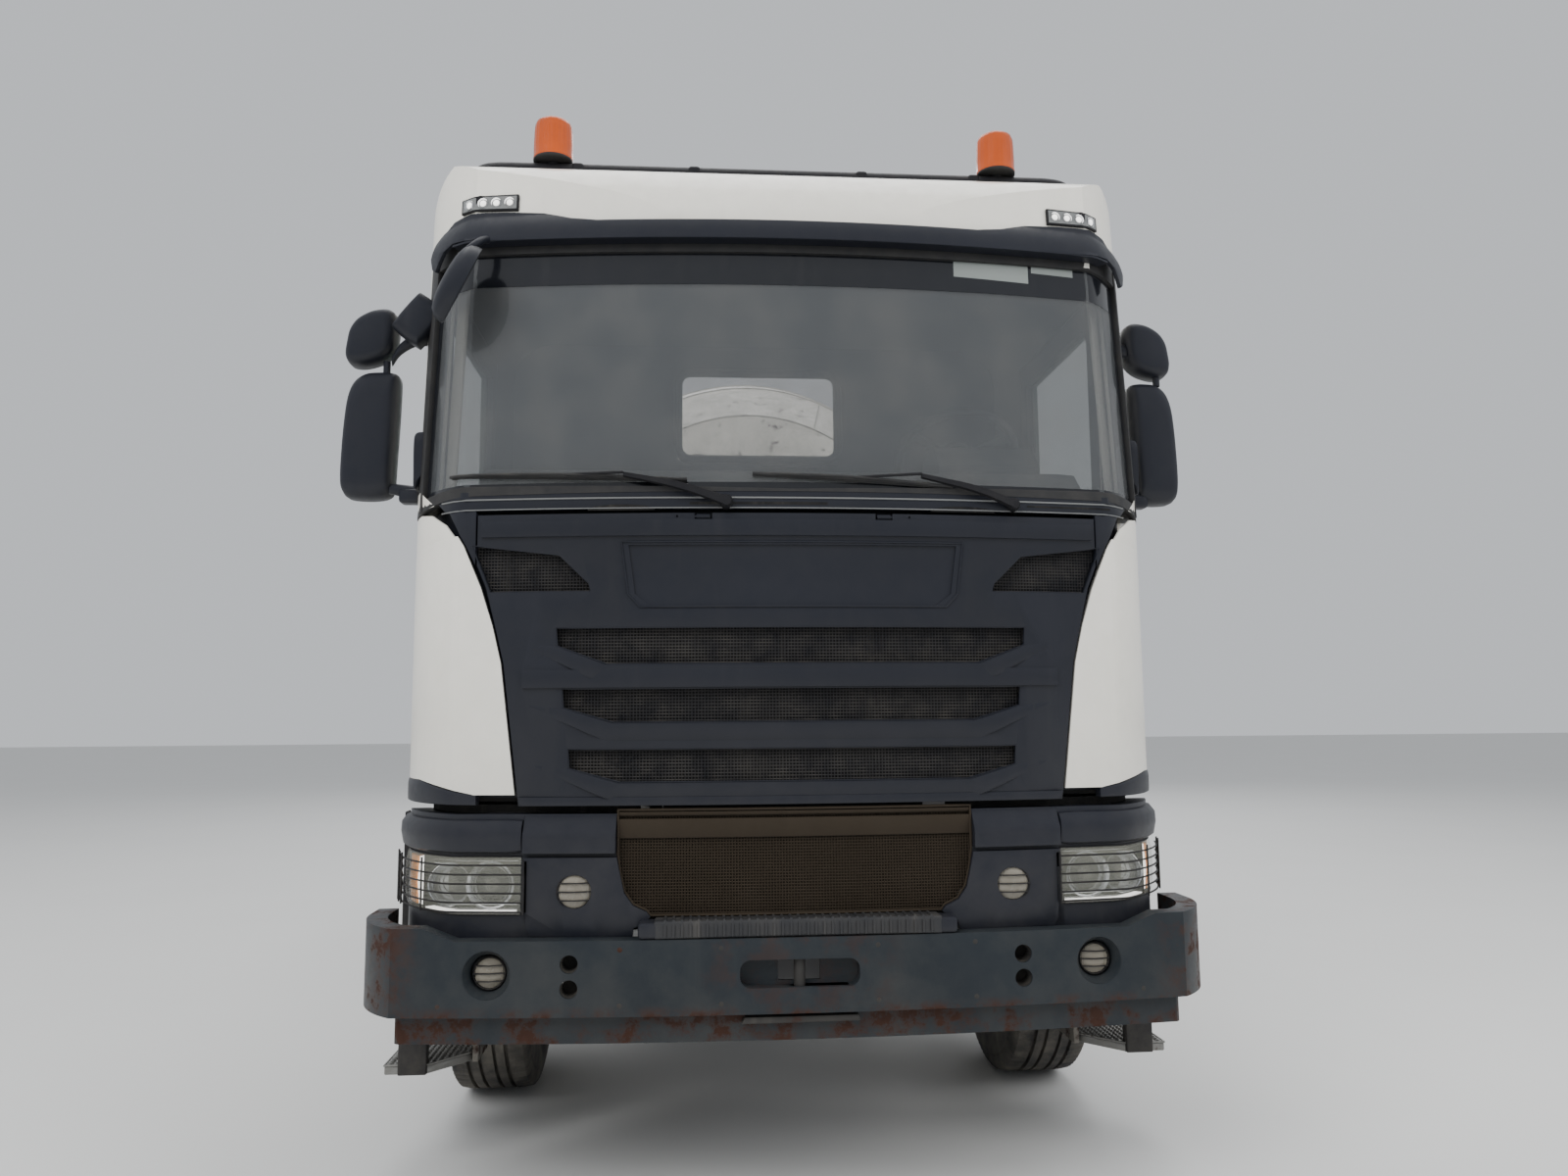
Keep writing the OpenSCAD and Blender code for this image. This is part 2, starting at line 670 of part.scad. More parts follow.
// Openings of the bumper: sockets, round lamps and the towing recess
socket_x = 641;
socket_z = [752, 685];
socket_r = 25;
fog_x = 868;
fog_z = 724;
fog_r = 47;
fog_recess_r = 66;
fog_recess = 95;
tow_w = 336;
tow_z = 680;
module bumper() {
  end_top = bumper_top + bumper_rise;
  color(steel_dark) placed() {
    difference() {
      union() {
        intersection() {
          along_z(bumper_bottom, end_top) difference() {
            bumper_plan(0);
            bumper_plan(bumper_t);
          }
          along_y(-10, 430)
            mirrored([[1400, bumper_bottom], [1400, end_top], [1050, end_top], [960, bumper_top]]);
        }
        along_z(530, bumper_bottom) intersection() {
          difference() {
            bumper_plan(40);
            bumper_plan(52);
          }
          translate([-1130, 0]) square([2260, 400]);
        }
        both() block(rail_x - rail_flange, rail_x, bumper_t / 2, rail_front_d, 640, 800);
      }
      both() {
        for (z = socket_z) rod_y(socket_x, -10, 120, z, socket_r);
        rod_y(fog_x, -10, fog_recess, fog_z, fog_recess_r);
      }
      along_y(-10, 50) translate([-tow_w / 2, tow_z]) rounded(tow_w, 76, 30);
      along_y(30, 120) translate([-60, tow_z + 10]) square([120, 56]);
    }
    rod_z(0, 30, 660, 780, 16);
    both() rod_y(fog_x, fog_recess - 10, fog_recess + 1, fog_z, fog_r);
  }
}
module front_ring(i0, i1, z0, z1, x0, x1) {
  intersection() {
    cab_ring(i0, i1, z0, z1);
    block(x0, x1, 0, 420, z0, z1);
  }
}
// Blocks between the grille and the headlamps, each with a round lamp, and the hoods over the headlamps
pod_shape = [[783, 1034], [516, 1034], [506, 985], [494, 935], [469, 900], [430, 882], [419, 868],
  [445, 845],
  [466, 838], [469, bumper_top + seat], [757, bumper_top + seat], [772, 840]];
pod_out = 12;
ledge_out = 20;
ledge_z = [1046, 1095, 1150];
hood_z = [1046, 1138];
lamp_z = [872, 1034];
spot_x = 634;
spot_z = 939;
spot_r = 47;
spot_recess = 128;
guard_rows = 6;
guard_pitch = 26;
guard_out = 24;
guard_x = 772;
module front_carrier() {
  color(slate) placed() {
    both() {
      difference() {
        union() {
          front_ring(8, 70, bumper_top - 45, low_front_top, low_grille_x + seat, cab_x);
          intersection() {
            cab_ring(-pod_out, 9, pod_shape[10][1], lamp_z[1]);
            along_y(0, 400) polygon(pod_shape);
          }
          front_ring(-ledge_out, 9, ledge_z[0], ledge_z[1], pod_shape[1][0], pod_shape[0][0]);
          front_ring(0, 9, ledge_z[1], ledge_z[2], pod_shape[1][0], pod_shape[0][0]);
        }
        front_ring(-50, 50, low_front_z + 4, lamp_z[1], 800, cab_x + 10);
        rod_y(spot_x, 0, spot_recess, spot_z, spot_r);
      }
      front_ring(-ledge_out, 8.5, hood_z[0], hood_z[1], 788, cab_x + 30);
      block(600, 680, 130, rail_front_d, 800, 960);
      for (k = [0:guard_rows - 1]) {
        z = lamp_z[0] + 12 + guard_pitch * k;
        front_ring(-guard_out, 6 - guard_out, z, z + 6, guard_x, cab_x + 30);
      }
      front_ring(-guard_out, 8.5, lamp_z[0] + 8, lamp_z[1] - 10, guard_x, guard_x + 8);
      intersection() {
        cab_ring(-guard_out, 8.5, lamp_z[0] + 8, lamp_z[1] - 10);
        block(cab_x - 30, cab_x + 30, 400, 419, 0, big);
      }
    }
  }
}
module lower_grille() {
  color([0.3, 0.25, 0.2]) placed() {
    difference() {
      front_ring(10, 36, low_front_z, low_front_top, -low_grille_x, low_grille_x);
      for (z = [895, 1075]) intersection() {
        cab_ring(-10, 22, z, z + 60);
        block(-480, 480, 0, 400, 0, big);
      }
    }
  }
}
module headlamps() {
  color([0.85, 0.87, 0.9]) placed() both() {
    front_ring(22, 50 - seat, low_front_z + 5, 1033, 806, cab_x);
  }
}
// Steps to the doors: treads in a frame behind a panel, and the middle step over the bumper
tread_z = [300, 600, 880];
tread_t = 32;
tread_x = [cab_x - 170, cab_x + 85];
panel_x = cab_x - 50;
module steps() {
  front = step_rear_d - step_l;
  color([0.6, 0.6, 0.58]) placed() {
    block(-410, 410, 4, 84, bumper_top + seat, 866);
    both() {
      for (z = tread_z) along_z(z, z + tread_t) {
        outer = tread_x[1] - (z - tread_z[0]) * 0.06;
        polygon([[tread_x[0], step_rear_d], [outer, step_rear_d], [outer, front], [panel_x, front],
          [tread_x[0], front + 130]]);
      }
      block(tread_x[0] - 20, tread_x[0], front + 110, step_rear_d, tread_z[0], 1130);
      block(panel_x, tread_x[1] - 45, front - 15, front, tread_z[0], 1130);
      block(rail_x, tread_x[0] - 20, front + 130, front + 190, 780, 860);
    }
  }
}
// Engine, gearbox, cooler and their mounts: half width, first and last distance, lower and upper edge
engine_blocks = [[290, 560, 1850, 620, 1140], [250, 1850, 2900, 540, rail_bottom + 50],
  [295, 270, 380, 560, 1130],
  [100, 380, 560, 800, 900]];
module engine() {
  color([0.35, 0.35, 0.36]) placed() {
    for (b = engine_blocks) block(-b[0], b[0], b[1], b[2], b[3], b[4]);
    both() block(engine_blocks[0][0], rail_x - rail_t, 900, 1000, 800, 900);
  }
}

module rail_section() {
  difference() {
    translate([-rail_flange, 0]) square([rail_flange, rail_h]);
    translate([-rail_flange - 1, rail_t]) square([rail_flange + 1 - rail_t, rail_h - 2 * rail_t]);
  }
}
cross_members = [axle1_d + 550, axle2_d + 900, axle3_d - 700, bogie_d, rail_rear_d - 50];
tow_lug_z = 900;
tow_pin_r = 20;
module frame() {
  inner_x = rail_x - rail_t;
  color(steel_dark) placed() {
    both() {
      translate([rail_x, 0, rail_bottom]) along_y(rail_front_d, rail_rear_d) rail_section();
      block(rail_x, 760, rail_front_d, rail_front_d + 60, 810, 890);
      block(330, 360, tilt_d - 30, rail_front_d + 60, tilt_z - 30, tilt_z + 30);
      block(330, inner_x, rail_front_d, rail_front_d + 60, tilt_z - 30, tilt_z + 30);
      rod_x(340, 445, tilt_d, tilt_z, tilt_pin_r);
    }
    block(-inner_x, inner_x, rail_front_d, rail_front_d + 60, rail_bottom + 20, rail_bottom + 120);
    difference() {
      block(-60, 60, rail_rear_d - 10, rail_rear_d + 100, tow_lug_z - 30, tow_lug_z + 30);
      rod_z(0, rail_rear_d + 50, 0, big, tow_pin_r);
    }
    for (d = cross_members) block(-inner_x, inner_x, d - 40, d + 40, rail_bottom + 60, rail_top - 60);
  }
}
module beam(section, a, b) {
  v = b - a;
  l = norm(v);
  translate(a) rotate([0, acos(v[2] / l), atan2(v[1], v[0])]) linear_extrude(l) square(section, center=true);
}
// Frame of the drum: Y runs along its axis from the drive flange to the mouth
module on_drum() { placed() translate([0, drum_d, drum_z]) rotate([drum_tilt, 0, 0]) children(); }
module turned() { rotate([-90, 0, 0]) children(); }
roller_out = (ring_r + roller_r + seat) * sin(roller_angle);
roller_down = (ring_r + roller_r + seat) * cos(roller_angle);
roller_d = drum_d + ring_at * cos(drum_tilt) + roller_down * sin(drum_tilt);
roller_z = drum_z + ring_at * sin(drum_tilt) - roller_down * cos(drum_tilt);
module mixer_frame() {
  color(cream) {
    placed() {
      both() {
        block(rail_x - rail_flange, rail_x, subframe_front_d, swivel_d + 120, rail_top, subframe_top);
        beam(80, [rail_x - 45, 2500, subframe_top - 5], [240, 2590, 1800]);
        beam(80, [rail_x - 45, 3050, subframe_top - 5], [240, 2640, 1800]);
        for (leg = [[-250, -20], [320, 40]])
          beam(100, [rail_x - 40, roller_d + leg[0], subframe_top - 5],
            [roller_out, roller_d + leg[1], roller_z - 200]);
        block(post_x - 40, post_x + 40, post_d - 40, post_d + 40, subframe_top + 100, post_top);
      }
      block(-post_x - 40, post_x + 40, post_d - 40, post_d + 40, subframe_top, subframe_top + 100);
      block(-rail_x + 1, rail_x - 1, swivel_d - 60, swivel_d + 60, rail_top + 20, subframe_top);
      rod_z(0, swivel_d, subframe_top - 10, subframe_top + post_h, 50);
      translate([0, subframe_front_d]) block(-rail_x + 1, rail_x - 1, 0, 80, rail_top + 10, subframe_top - 10);
    }
    on_drum() translate([-300, -270, -drive_seat - 40]) cube([600, 200, 40]);
    on_drum() both() {
      difference() {
        union() {
          translate([roller_out, 0, -roller_down]) {
            for (y = [ring_at - 110, ring_at + 80]) block(-60, 60, y, y + 30, -190, 60);
            block(-60, 60, ring_at - 110, ring_at + 110, -210, -170);
          }
        }
        translate([roller_out, ring_at - 150, -roller_down]) turned() cylinder(r=30 + run_fit, h=300);
      }
    }
  }
}
drive_seat = 270;
post_h = 150;
module roller() {
  on_drum() translate([roller_out, ring_at, -roller_down]) turned() {
    translate([0, 0, -60]) cylinder(r=roller_r, h=120);
    translate([0, 0, -115]) cylinder(r=30, h=230);
  }
}
module roller_left() { color("dimgray") roller(); }
module roller_right() { color("dimgray") mirror([1, 0, 0]) roller(); }
// Drum profile: distance along the axis, outer radius
drum_profile = [[0, 300], [60, 520], [320, 930], [700, drum_r - 40], [1000, drum_r], [2200, drum_r],
  [ring_at - 60, ring_r - 45], [ring_at + 60, ring_r - 70], [drum_l, mouth_r]];
// Spiral blades: flat sectors tilted to follow the spiral, trimmed to the drum's inside
blade_steps = 20;
blade_start = 500;
blade_turn = 36;
blade_pitch = 210;
blade_share = 0.22;
blade_t = 6;
function drum_r_at(s) = lookup(s, [for (p = drum_profile) [p[0], p[1]]]);
module blade_sector(s) {
  r = drum_r_at(s);
  h = r * blade_share;
  lean = atan(blade_pitch / (r * blade_turn * 3.1416 / 180));
  translate([0, 0, s]) rotate([lean, 0, 0]) linear_extrude(blade_t) difference() {
    translate([r - h, -r * sin(blade_turn / 2)]) square([h + 60, 2 * r * sin(blade_turn / 2)]);
    circle(r=r - h);
  }
}
module drum_form(grow) {
  rotate_extrude($fn=128) polygon([[0, 20], [280, 20], for (i = [1:len(drum_profile) - 2])
    [drum_profile[i][1] - drum_t + grow, drum_profile[i][0] + (i < 4 ? 8 : 0)],
    [mouth_r - drum_t + grow, drum_l + 1], [0, drum_l + 1]]);
}
module drum() {
  color(cream) on_drum() turned() {
    intersection() {
      for (k = [0:blade_steps - 1]) for (start = [0, 180])
        rotate([0, 0, start + k * blade_turn]) blade_sector(blade_start + k * blade_pitch);
      drum_form(4);
    }
    difference() {
      rotate_extrude($fn=128) polygon([[0, 0], for (p = drum_profile) [p[1], p[0]], [0, drum_l]]);
      drum_form(0);
    }
    rotate_extrude($fn=128) translate([ring_r - 75, ring_at - 45]) square([75, 90]);
    translate([0, 0, -120]) cylinder(r=drive_shaft_r, h=125);
  }
}
module drum_drive() {
  color("dimgray") on_drum() turned() difference() {
    union() {
      translate([0, 0, -420]) cylinder(r=180, h=160);
      translate([0, 0, -260]) cylinder(r=250, h=240);
      translate([-200, 120, -250]) cube([400, drive_seat - 120, 160]);
    }
    translate([0, 0, -130]) cylinder(r=drive_shaft_r + run_fit, h=200);
  }
}
module water_tank() {
  color("silver") placed() {
    rod_x(-880, 880, subframe_front_d - 130, 1480, 180);
    both() block(rail_x - 70, rail_x - 10, subframe_front_d - 200, subframe_front_d - 60, rail_top, 1330);
  }
}
// Charge hopper above the mouth, and the round funnel that leads concrete down to the chute
plate_t = 6;
hopper_top = [480, 630, mouth_z + 722];
hopper_low = [250, 220, mouth_z + 52];
funnel_r = [170, 480];
funnel_z = [1950, 2480];
rim_h = 40;
module hopper_shell(g) {
  hull() {
    translate([0, post_d, hopper_top[2]])
      block(g - hopper_top[0], hopper_top[0] - g, g, hopper_top[1] - g, 0, 1 + g);
    translate([0, mouth_d - 114, hopper_low[2]])
      block(g - hopper_low[0], hopper_low[0] - g, g, hopper_low[1] - g, -g, 1 - g);
  }
}
module hoppers() {
  color(cream) placed() {
    difference() {
      hopper_shell(0);
      hopper_shell(plate_t);
    }
    both() block(286, post_x - 40 - seat, post_d - 40, post_d, post_top - 25, post_top);
    translate([0, swivel_d, 0]) rotate_extrude() {
      inner = funnel_r - [plate_t, plate_t];
      polygon([[funnel_r[0], funnel_z[0]], [funnel_r[1], funnel_z[1]], [funnel_r[1], funnel_z[1] + rim_h],
        [inner[1], funnel_z[1] + rim_h], [inner[1], funnel_z[1] + 2], [inner[0], funnel_z[0]]]);
    }
    both() for (b = [[funnel_r[1] - 4, swivel_d - 20], [post_x - 120, post_d + 30]])
      block(b[0], post_x - 40 - seat, b[1], swivel_d + 20, funnel_z[1], funnel_z[1] + rim_h);
  }
}
ladder_d = post_d - 60;
module ladder() {
  color("silver") placed() {
    for (x = [-1150, -830]) rod_z(x, ladder_d, 1250, post_top - 50, 20);
    for (z = [1350:280:3150]) rod_x(-1150, -830, ladder_d, z, 14);
    for (z = [1500, post_top - 400]) block(-850, -post_x - 40 - seat, ladder_d, ladder_d + 50, z, z + 40);
  }
}
module chute_arm() {
  arm_z = subframe_top + post_h + 20;
  color("dimgray") placed() translate([0, swivel_d, 0]) difference() {
    union() {
      rod_z(0, 0, subframe_top + seat, arm_z, 80);
      block(-chute_r - 40, chute_r + 40, -90, 90, arm_z, arm_z + 25);
      both() block(chute_r + 20, chute_r + 40, -60, 60, arm_z, chute_z + 50);
    }
    rod_z(0, 0, subframe_top, subframe_top + post_h + seat, 50 + run_fit);
    both() rod_x(chute_r, chute_r + 60, 0, chute_z, chute_pin_r + run_fit);
  }
}
// Frame of the chute: Y runs down the trough from the tilt pins
module on_chute() { placed() translate([0, swivel_d, chute_z]) rotate([-chute_slope, 0, 0]) children(); }
module trough(r, t, y0, y1) {
  along_y(y0, y1) difference() {
    circle(r=r);
    circle(r=r - t);
    translate([-r - 5, 0]) square([2 * r + 10, r + 5]);
  }
}
fold_z = 8;
fold_pin_r = 8;
fold_gap = 8;
module chute() {
  color("dimgray") on_chute() {
    trough(chute_r, plate_t, -160, chute_l - 30);
    both() {
      rod_x(chute_r - 8, chute_r + 40, 0, 0, chute_pin_r);
      block(chute_r - 6, chute_r + 14, -40, 40, -40, 30);
      difference() {
        block(chute_r - 6, chute_r + 10, chute_l - 80, chute_l, -40, 22);
        rod_x(chute_r - 20, chute_r + 20, chute_l - 15, fold_z, fold_pin_r + run_fit);
      }
    }
  }
}
module chute_end() {
  color("dimgray") on_chute() {
    translate([0, 0, 2 * fold_z]) mirror([0, 0, 1]) trough(end_r, plate_t, chute_l - end_l, chute_l - 20);
    both() {
      rod_x(end_r - 6, chute_r + 10, chute_l - 15, fold_z, fold_pin_r);
      block(end_r - 8, end_r, chute_l - 60, chute_l - fold_gap, 2, 60);
    }
  }
}

// Leaf springs: a bent pack between two hangers
spring_x = [rail_x - 85, rail_x - 5];
leaf_r = 2550;
leaf_t = 50;
leaf_l = 1520;
module front_spring(d) {
  both() {
    along_x(spring_x[0], spring_x[1]) intersection() {
      translate([d, leaf_r + 550]) difference() {
        circle(r=leaf_r, $fn=180);
        circle(r=leaf_r - leaf_t, $fn=180);
      }
      translate([d - leaf_l / 2, 400]) square([leaf_l, 500]);
    }
    for (s = [-1, 1]) translate([0, d + s * (leaf_l / 2 - 20)])
      block(spring_x[0], spring_x[1], -40, 40, 650, rail_bottom);
    block(spring_x[0], spring_x[1], d - 80, d + 80, 500, 580);
  }
}
boss_z = [440, 620];
module front_axles() {
  color(black) placed() for (d = [axle1_d, axle2_d]) {
    front_spring(d);
    difference() {
      union() {
        block(-kingpin_x + 40, kingpin_x - 40, d - 45, d + 45, boss_z[0], boss_z[0] + 90);
        both() rod_z(kingpin_x, d, boss_z[0], boss_z[1], 58);
      }
      both() rod_z(kingpin_x, d, 400, 700, kingpin_r + run_fit);
    }
  }
}
fork_z = [370, 690];
module knuckle(d) {
  placed() {
    rod_z(kingpin_x, d, fork_z[0], fork_z[1], kingpin_r);
    rod_z(kingpin_x, d, fork_z[0], boss_z[0] - seat, 50);
    rod_z(kingpin_x, d, boss_z[1] + seat, fork_z[1], 50);
    translate([kingpin_x, d]) {
      for (z = [fork_z[0], fork_z[1] - 60]) block(10, 90, -60, 60, z, z + 60);
      block(62, 90, -60, 60, fork_z[0], fork_z[1]);
    }
    rod_x(kingpin_x + 70, front_track_x + 140, d, tyre_r, spindle_r);
  }
}
module knuckle_1_left() { color(black) knuckle(axle1_d); }
module knuckle_1_right() { color(black) mirror([1, 0, 0]) knuckle(axle1_d); }
module knuckle_2_left() { color(black) knuckle(axle2_d); }
module knuckle_2_right() { color(black) mirror([1, 0, 0]) knuckle(axle2_d); }

module rear_axles() {
  color(black) placed() {
    for (d = [axle3_d, axle4_d]) {
      rod_x(-600, 600, d, tyre_r, 75);
      rod_x(-rear_track_x - 160, rear_track_x + 160, d, tyre_r, rear_spindle_r);
      rod_y(0, d - 230, d + 160, tyre_r, 190);
      both() block(rail_x + 30, rail_x + 120, d - 90, d + 90, tyre_r, 680);
    }
    both() {
      block(rail_x + 30, rail_x + 120, axle3_d - 90, axle4_d + 90, 640, 700);
      block(rail_x, rail_x + 120, bogie_d - 120, bogie_d + 120, 690, 860);
    }
    rod_y(0, 2900, axle3_d - 220, 700, 55);
    beam(90, [0, axle3_d - 400, 700], [0, axle3_d - 150, tyre_r + 60]);
    rod_y(0, axle3_d + 150, axle4_d - 200, tyre_r, 50);
  }
}
// Half outline of a tyre: radius, share of the tyre's width
tyre_profile = [[rim_r, 0.36], [rim_r + 20, 0.365], [rim_r + 70, 0.46], [rim_r + 140, 0.5],
  [tyre_r - 55, 0.485],
  [tyre_r - 14, 0.45], [tyre_r, 0.41]];
module tyre() {
  rotate_extrude($fn=96) polygon([for (p = tyre_profile) [p[0], -p[1] * tyre_w],
    for (i = [len(tyre_profile) - 1:-1:0]) [tyre_profile[i][0], tyre_profile[i][1] * tyre_w]]);
}
module rim_barrel() {
  f = rim_w / 2;
  s = rim_r - seat;
  rotate_extrude() {
    translate([s - 10, -f]) square([10, 2 * f]);
    for (y = [-f - 8, f]) translate([s - 10, y]) square([24, 8]);
  }
}
disc_t = 14;
hand_hole_at = 231;
hand_hole_r = 17;
module rim_disc() {
  difference() {
    rotate_extrude() polygon([[rim_r - 6, 86], [rim_r - 20, 128], [256, disc_out - 30],
      [206, disc_out - 30],
      [196, disc_out], [70, disc_out], [70, disc_out - disc_t], [188, disc_out - disc_t],
        [198, disc_out - 44],
      [250, disc_out - 44], [254, 122], [rim_r - 18, 80]]);
    for (a = [0:45:315]) rotate([0, 0, a]) rod_z(hand_hole_at, 0, 100, 200, hand_hole_r, $fn=24);
  }
}
module wheel_at(d, x) { placed() translate([x, d, tyre_r]) rotate([0, 90, 0]) children(); }
module front_rim(d) {
  wheel_at(d, front_track_x) {
    rim_barrel();
    rim_disc();
    difference() {
      translate([0, 0, 12]) cylinder(r=130, h=208);
      cylinder(r=spindle_r + run_fit, h=140 + seat);
    }
  }
}
module rear_rims(d) {
  wheel_at(d, rear_track_x) {
    for (s = [-1, 1]) mirror([0, 0, s < 0 ? 1 : 0]) translate([0, 0, disc_out]) {
      rim_barrel();
      mirror([0, 0, 1]) rim_disc();
    }
    difference() {
      union() {
        translate([0, 0, -280]) cylinder(r=205, h=200);
        translate([0, 0, -100]) cylinder(r=150, h=310);
      }
      translate([0, 0, -300]) cylinder(r=rear_spindle_r + run_fit, h=460 + seat);
    }
  }
}
module rear_tyres(d) { wheel_at(d, rear_track_x) for (s = [-1, 1]) translate([0, 0, s * disc_out]) tyre(); }
module tyre_1_left() { color(black) wheel_at(axle1_d, front_track_x) tyre(); }
module tyre_1_right() { color(black) mirror([1, 0, 0]) wheel_at(axle1_d, front_track_x) tyre(); }
module tyre_2_left() { color(black) wheel_at(axle2_d, front_track_x) tyre(); }
module tyre_2_right() { color(black) mirror([1, 0, 0]) wheel_at(axle2_d, front_track_x) tyre(); }
module rim_1_left() { color("silver") front_rim(axle1_d); }
module rim_1_right() { color("silver") mirror([1, 0, 0]) front_rim(axle1_d); }
module rim_2_left() { color("silver") front_rim(axle2_d); }
module rim_2_right() { color("silver") mirror([1, 0, 0]) front_rim(axle2_d); }
module tyres_3_left() { color(black) rear_tyres(axle3_d); }
module tyres_3_right() { color(black) mirror([1, 0, 0]) rear_tyres(axle3_d); }
module tyres_4_left() { color(black) rear_tyres(axle4_d); }
module tyres_4_right() { color(black) mirror([1, 0, 0]) rear_tyres(axle4_d); }
module rims_3_left() { color("silver") rear_rims(axle3_d); }
module rims_3_right() { color("silver") mirror([1, 0, 0]) rear_rims(axle3_d); }
module rims_4_left() { color("silver") rear_rims(axle4_d); }
module rims_4_right() { color("silver") mirror([1, 0, 0]) rear_rims(axle4_d); }

module fuel_tank() {
  color("silver") placed() {
    translate([rail_x + 60, 0, 500]) along_y(tank_d[0], tank_d[1]) rounded(700, 600, 90);
    for (d = [tank_d[0] + 220, tank_d[1] - 280]) block(rail_x, rail_x + 65, d, d + 80, 700, 900);
  }
}
module side_boxes() {
  color(steel_dark) placed() {
    block(-1150, -rail_x - 40, tank_d[0], tank_d[0] + 550, 560, 1060);
    block(-rail_x - 40, -rail_x, tank_d[0] + 170, tank_d[0] + 270, 760, 900);
    translate([-1130, 0, 540]) along_y(tank_d[1] - 520, tank_d[1]) rounded(680, 540, 70);
    block(-rail_x - 62, -rail_x, tank_d[1] - 330, tank_d[1] - 230, 760, 900);
    both() {
      rod_y(rail_x + 210, axle1_d + 780, axle1_d + 1180, 860, 130);
      block(rail_x, rail_x + 100, axle1_d + 900, axle1_d + 980, 820, 900);
    }
  }
}
module guard_arc(d, a0, a1, r, x0, x1) {
  along_x(x0, x1) translate([d, tyre_r]) intersection() {
    difference() {
      circle(r=r + 6);
      circle(r=r);
    }
    polygon([[0, 0], for (a = [a0:(a1 - a0) / 6:a1 + 0.01]) [900 * cos(a), 900 * sin(a)]]);
  }
}
// Guards: axle, first and last angle. Front guards leave more room for the wheels' steering
front_guards = [[axle1_d, 8, 52], [axle2_d, 10, 170]];
rear_guards = [[axle3_d, 60, 172, -200], [axle4_d, 8, 120, 160]];
front_guard_x = [890, 1200];
rear_guard_x = [600, 1250];
module mudguards() {
  color(black) placed() both() {
    for (g = front_guards) {
      guard_arc(g[0], g[1], g[2], tyre_r + 115, front_guard_x[0], front_guard_x[1]);
      block(rail_x, front_guard_x[0] + 10, g[0] + 560, g[0] + 600, 800, 840);
    }
    for (g = rear_guards) {
      guard_arc(g[0], g[1], g[2], tyre_r + 70, rear_guard_x[0], rear_guard_x[1]);
      block(rail_x, rear_guard_x[0] + 20, g[0] + g[3], g[0] + g[3] + 40, 1072, 1102);
    }
  }
}
module rear_bar() {
  color(steel_dark) placed() {
    block(-1150, 1150, rail_rear_d - 120, rail_rear_d - 20, 440, 560);
    both() {
      block(rail_x - 60, rail_x - 10, rail_rear_d - 110, rail_rear_d - 30, 560, rail_bottom);
      block(600, 1000, rail_rear_d - 75, rail_rear_d - 5, 550, 680);
    }
  }
}

frame();
mixer_frame();
bumper();
front_carrier();
steps();
lower_grille();
headlamps();
engine();
front_axles();
rear_axles();
fuel_tank();
side_boxes();
mudguards();
rear_bar();
drum_drive();
water_tank();
hoppers();
ladder();
cab_shell();
cab_glass();
visor();
corner_panels();
cowl();
cab_interior();
roof_bar();
beacons();
mirrors();
hatch();
hatch_mesh();
door_left();
door_right();
door_glass_left();
door_glass_right();
steering_wheel();
knuckle_1_left();
knuckle_1_right();
knuckle_2_left();
knuckle_2_right();
tyre_1_left();
tyre_1_right();
tyre_2_left();
tyre_2_right();
rim_1_left();
rim_1_right();
rim_2_left();
rim_2_right();
tyres_3_left();
tyres_3_right();
tyres_4_left();
tyres_4_right();
rims_3_left();
rims_3_right();
rims_4_left();
rims_4_right();
drum();
roller_left();
roller_right();
chute_arm();
chute();
chute_end();
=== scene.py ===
"""Looks of a concrete mixer truck, built around its packed construction model. Metres; Y runs rearwards."""
import json
import math

import bmesh
import bpy
from mathutils import Matrix, Vector


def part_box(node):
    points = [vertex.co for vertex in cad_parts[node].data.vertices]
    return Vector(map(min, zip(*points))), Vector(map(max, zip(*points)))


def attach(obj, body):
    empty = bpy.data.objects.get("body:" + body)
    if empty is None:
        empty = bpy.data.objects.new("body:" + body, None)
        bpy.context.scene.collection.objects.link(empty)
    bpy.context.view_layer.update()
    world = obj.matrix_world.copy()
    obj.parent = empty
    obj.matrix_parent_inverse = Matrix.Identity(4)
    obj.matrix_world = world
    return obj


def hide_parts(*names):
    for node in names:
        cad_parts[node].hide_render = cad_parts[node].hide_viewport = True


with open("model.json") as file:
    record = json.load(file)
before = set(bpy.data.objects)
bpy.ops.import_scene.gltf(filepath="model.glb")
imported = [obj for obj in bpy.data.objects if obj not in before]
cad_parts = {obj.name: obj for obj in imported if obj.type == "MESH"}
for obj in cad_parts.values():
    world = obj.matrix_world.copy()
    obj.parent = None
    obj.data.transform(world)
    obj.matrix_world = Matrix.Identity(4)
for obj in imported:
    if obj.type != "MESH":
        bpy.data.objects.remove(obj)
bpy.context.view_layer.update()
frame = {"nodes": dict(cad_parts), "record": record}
nodes = frame["nodes"]
slot_of = {s["node"]: s["material_slot"] for s in frame["record"]["subparts"]}
body_of = {n: b for b, members in frame["record"]["behaviour"]["bodies"].items() for n in members}
FRONT_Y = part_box("bumper")[0].y

# Colours, as linear red, green, blue
CREAM = (0.8, 0.775, 0.7)
SLATE = (0.0115, 0.0128, 0.0185)
BLACK = (0.01, 0.01, 0.012)
STEEL_BLUE = (0.015, 0.0195, 0.024)
DUST = (0.25, 0.225, 0.185)
RUST = (0.03, 0.014, 0.0095)
CONCRETE = (0.36, 0.35, 0.32)
ALUMINIUM = (0.62, 0.62, 0.6)
GREY_PAINT = (0.42, 0.42, 0.41)
RUBBER = (0.018, 0.018, 0.019)


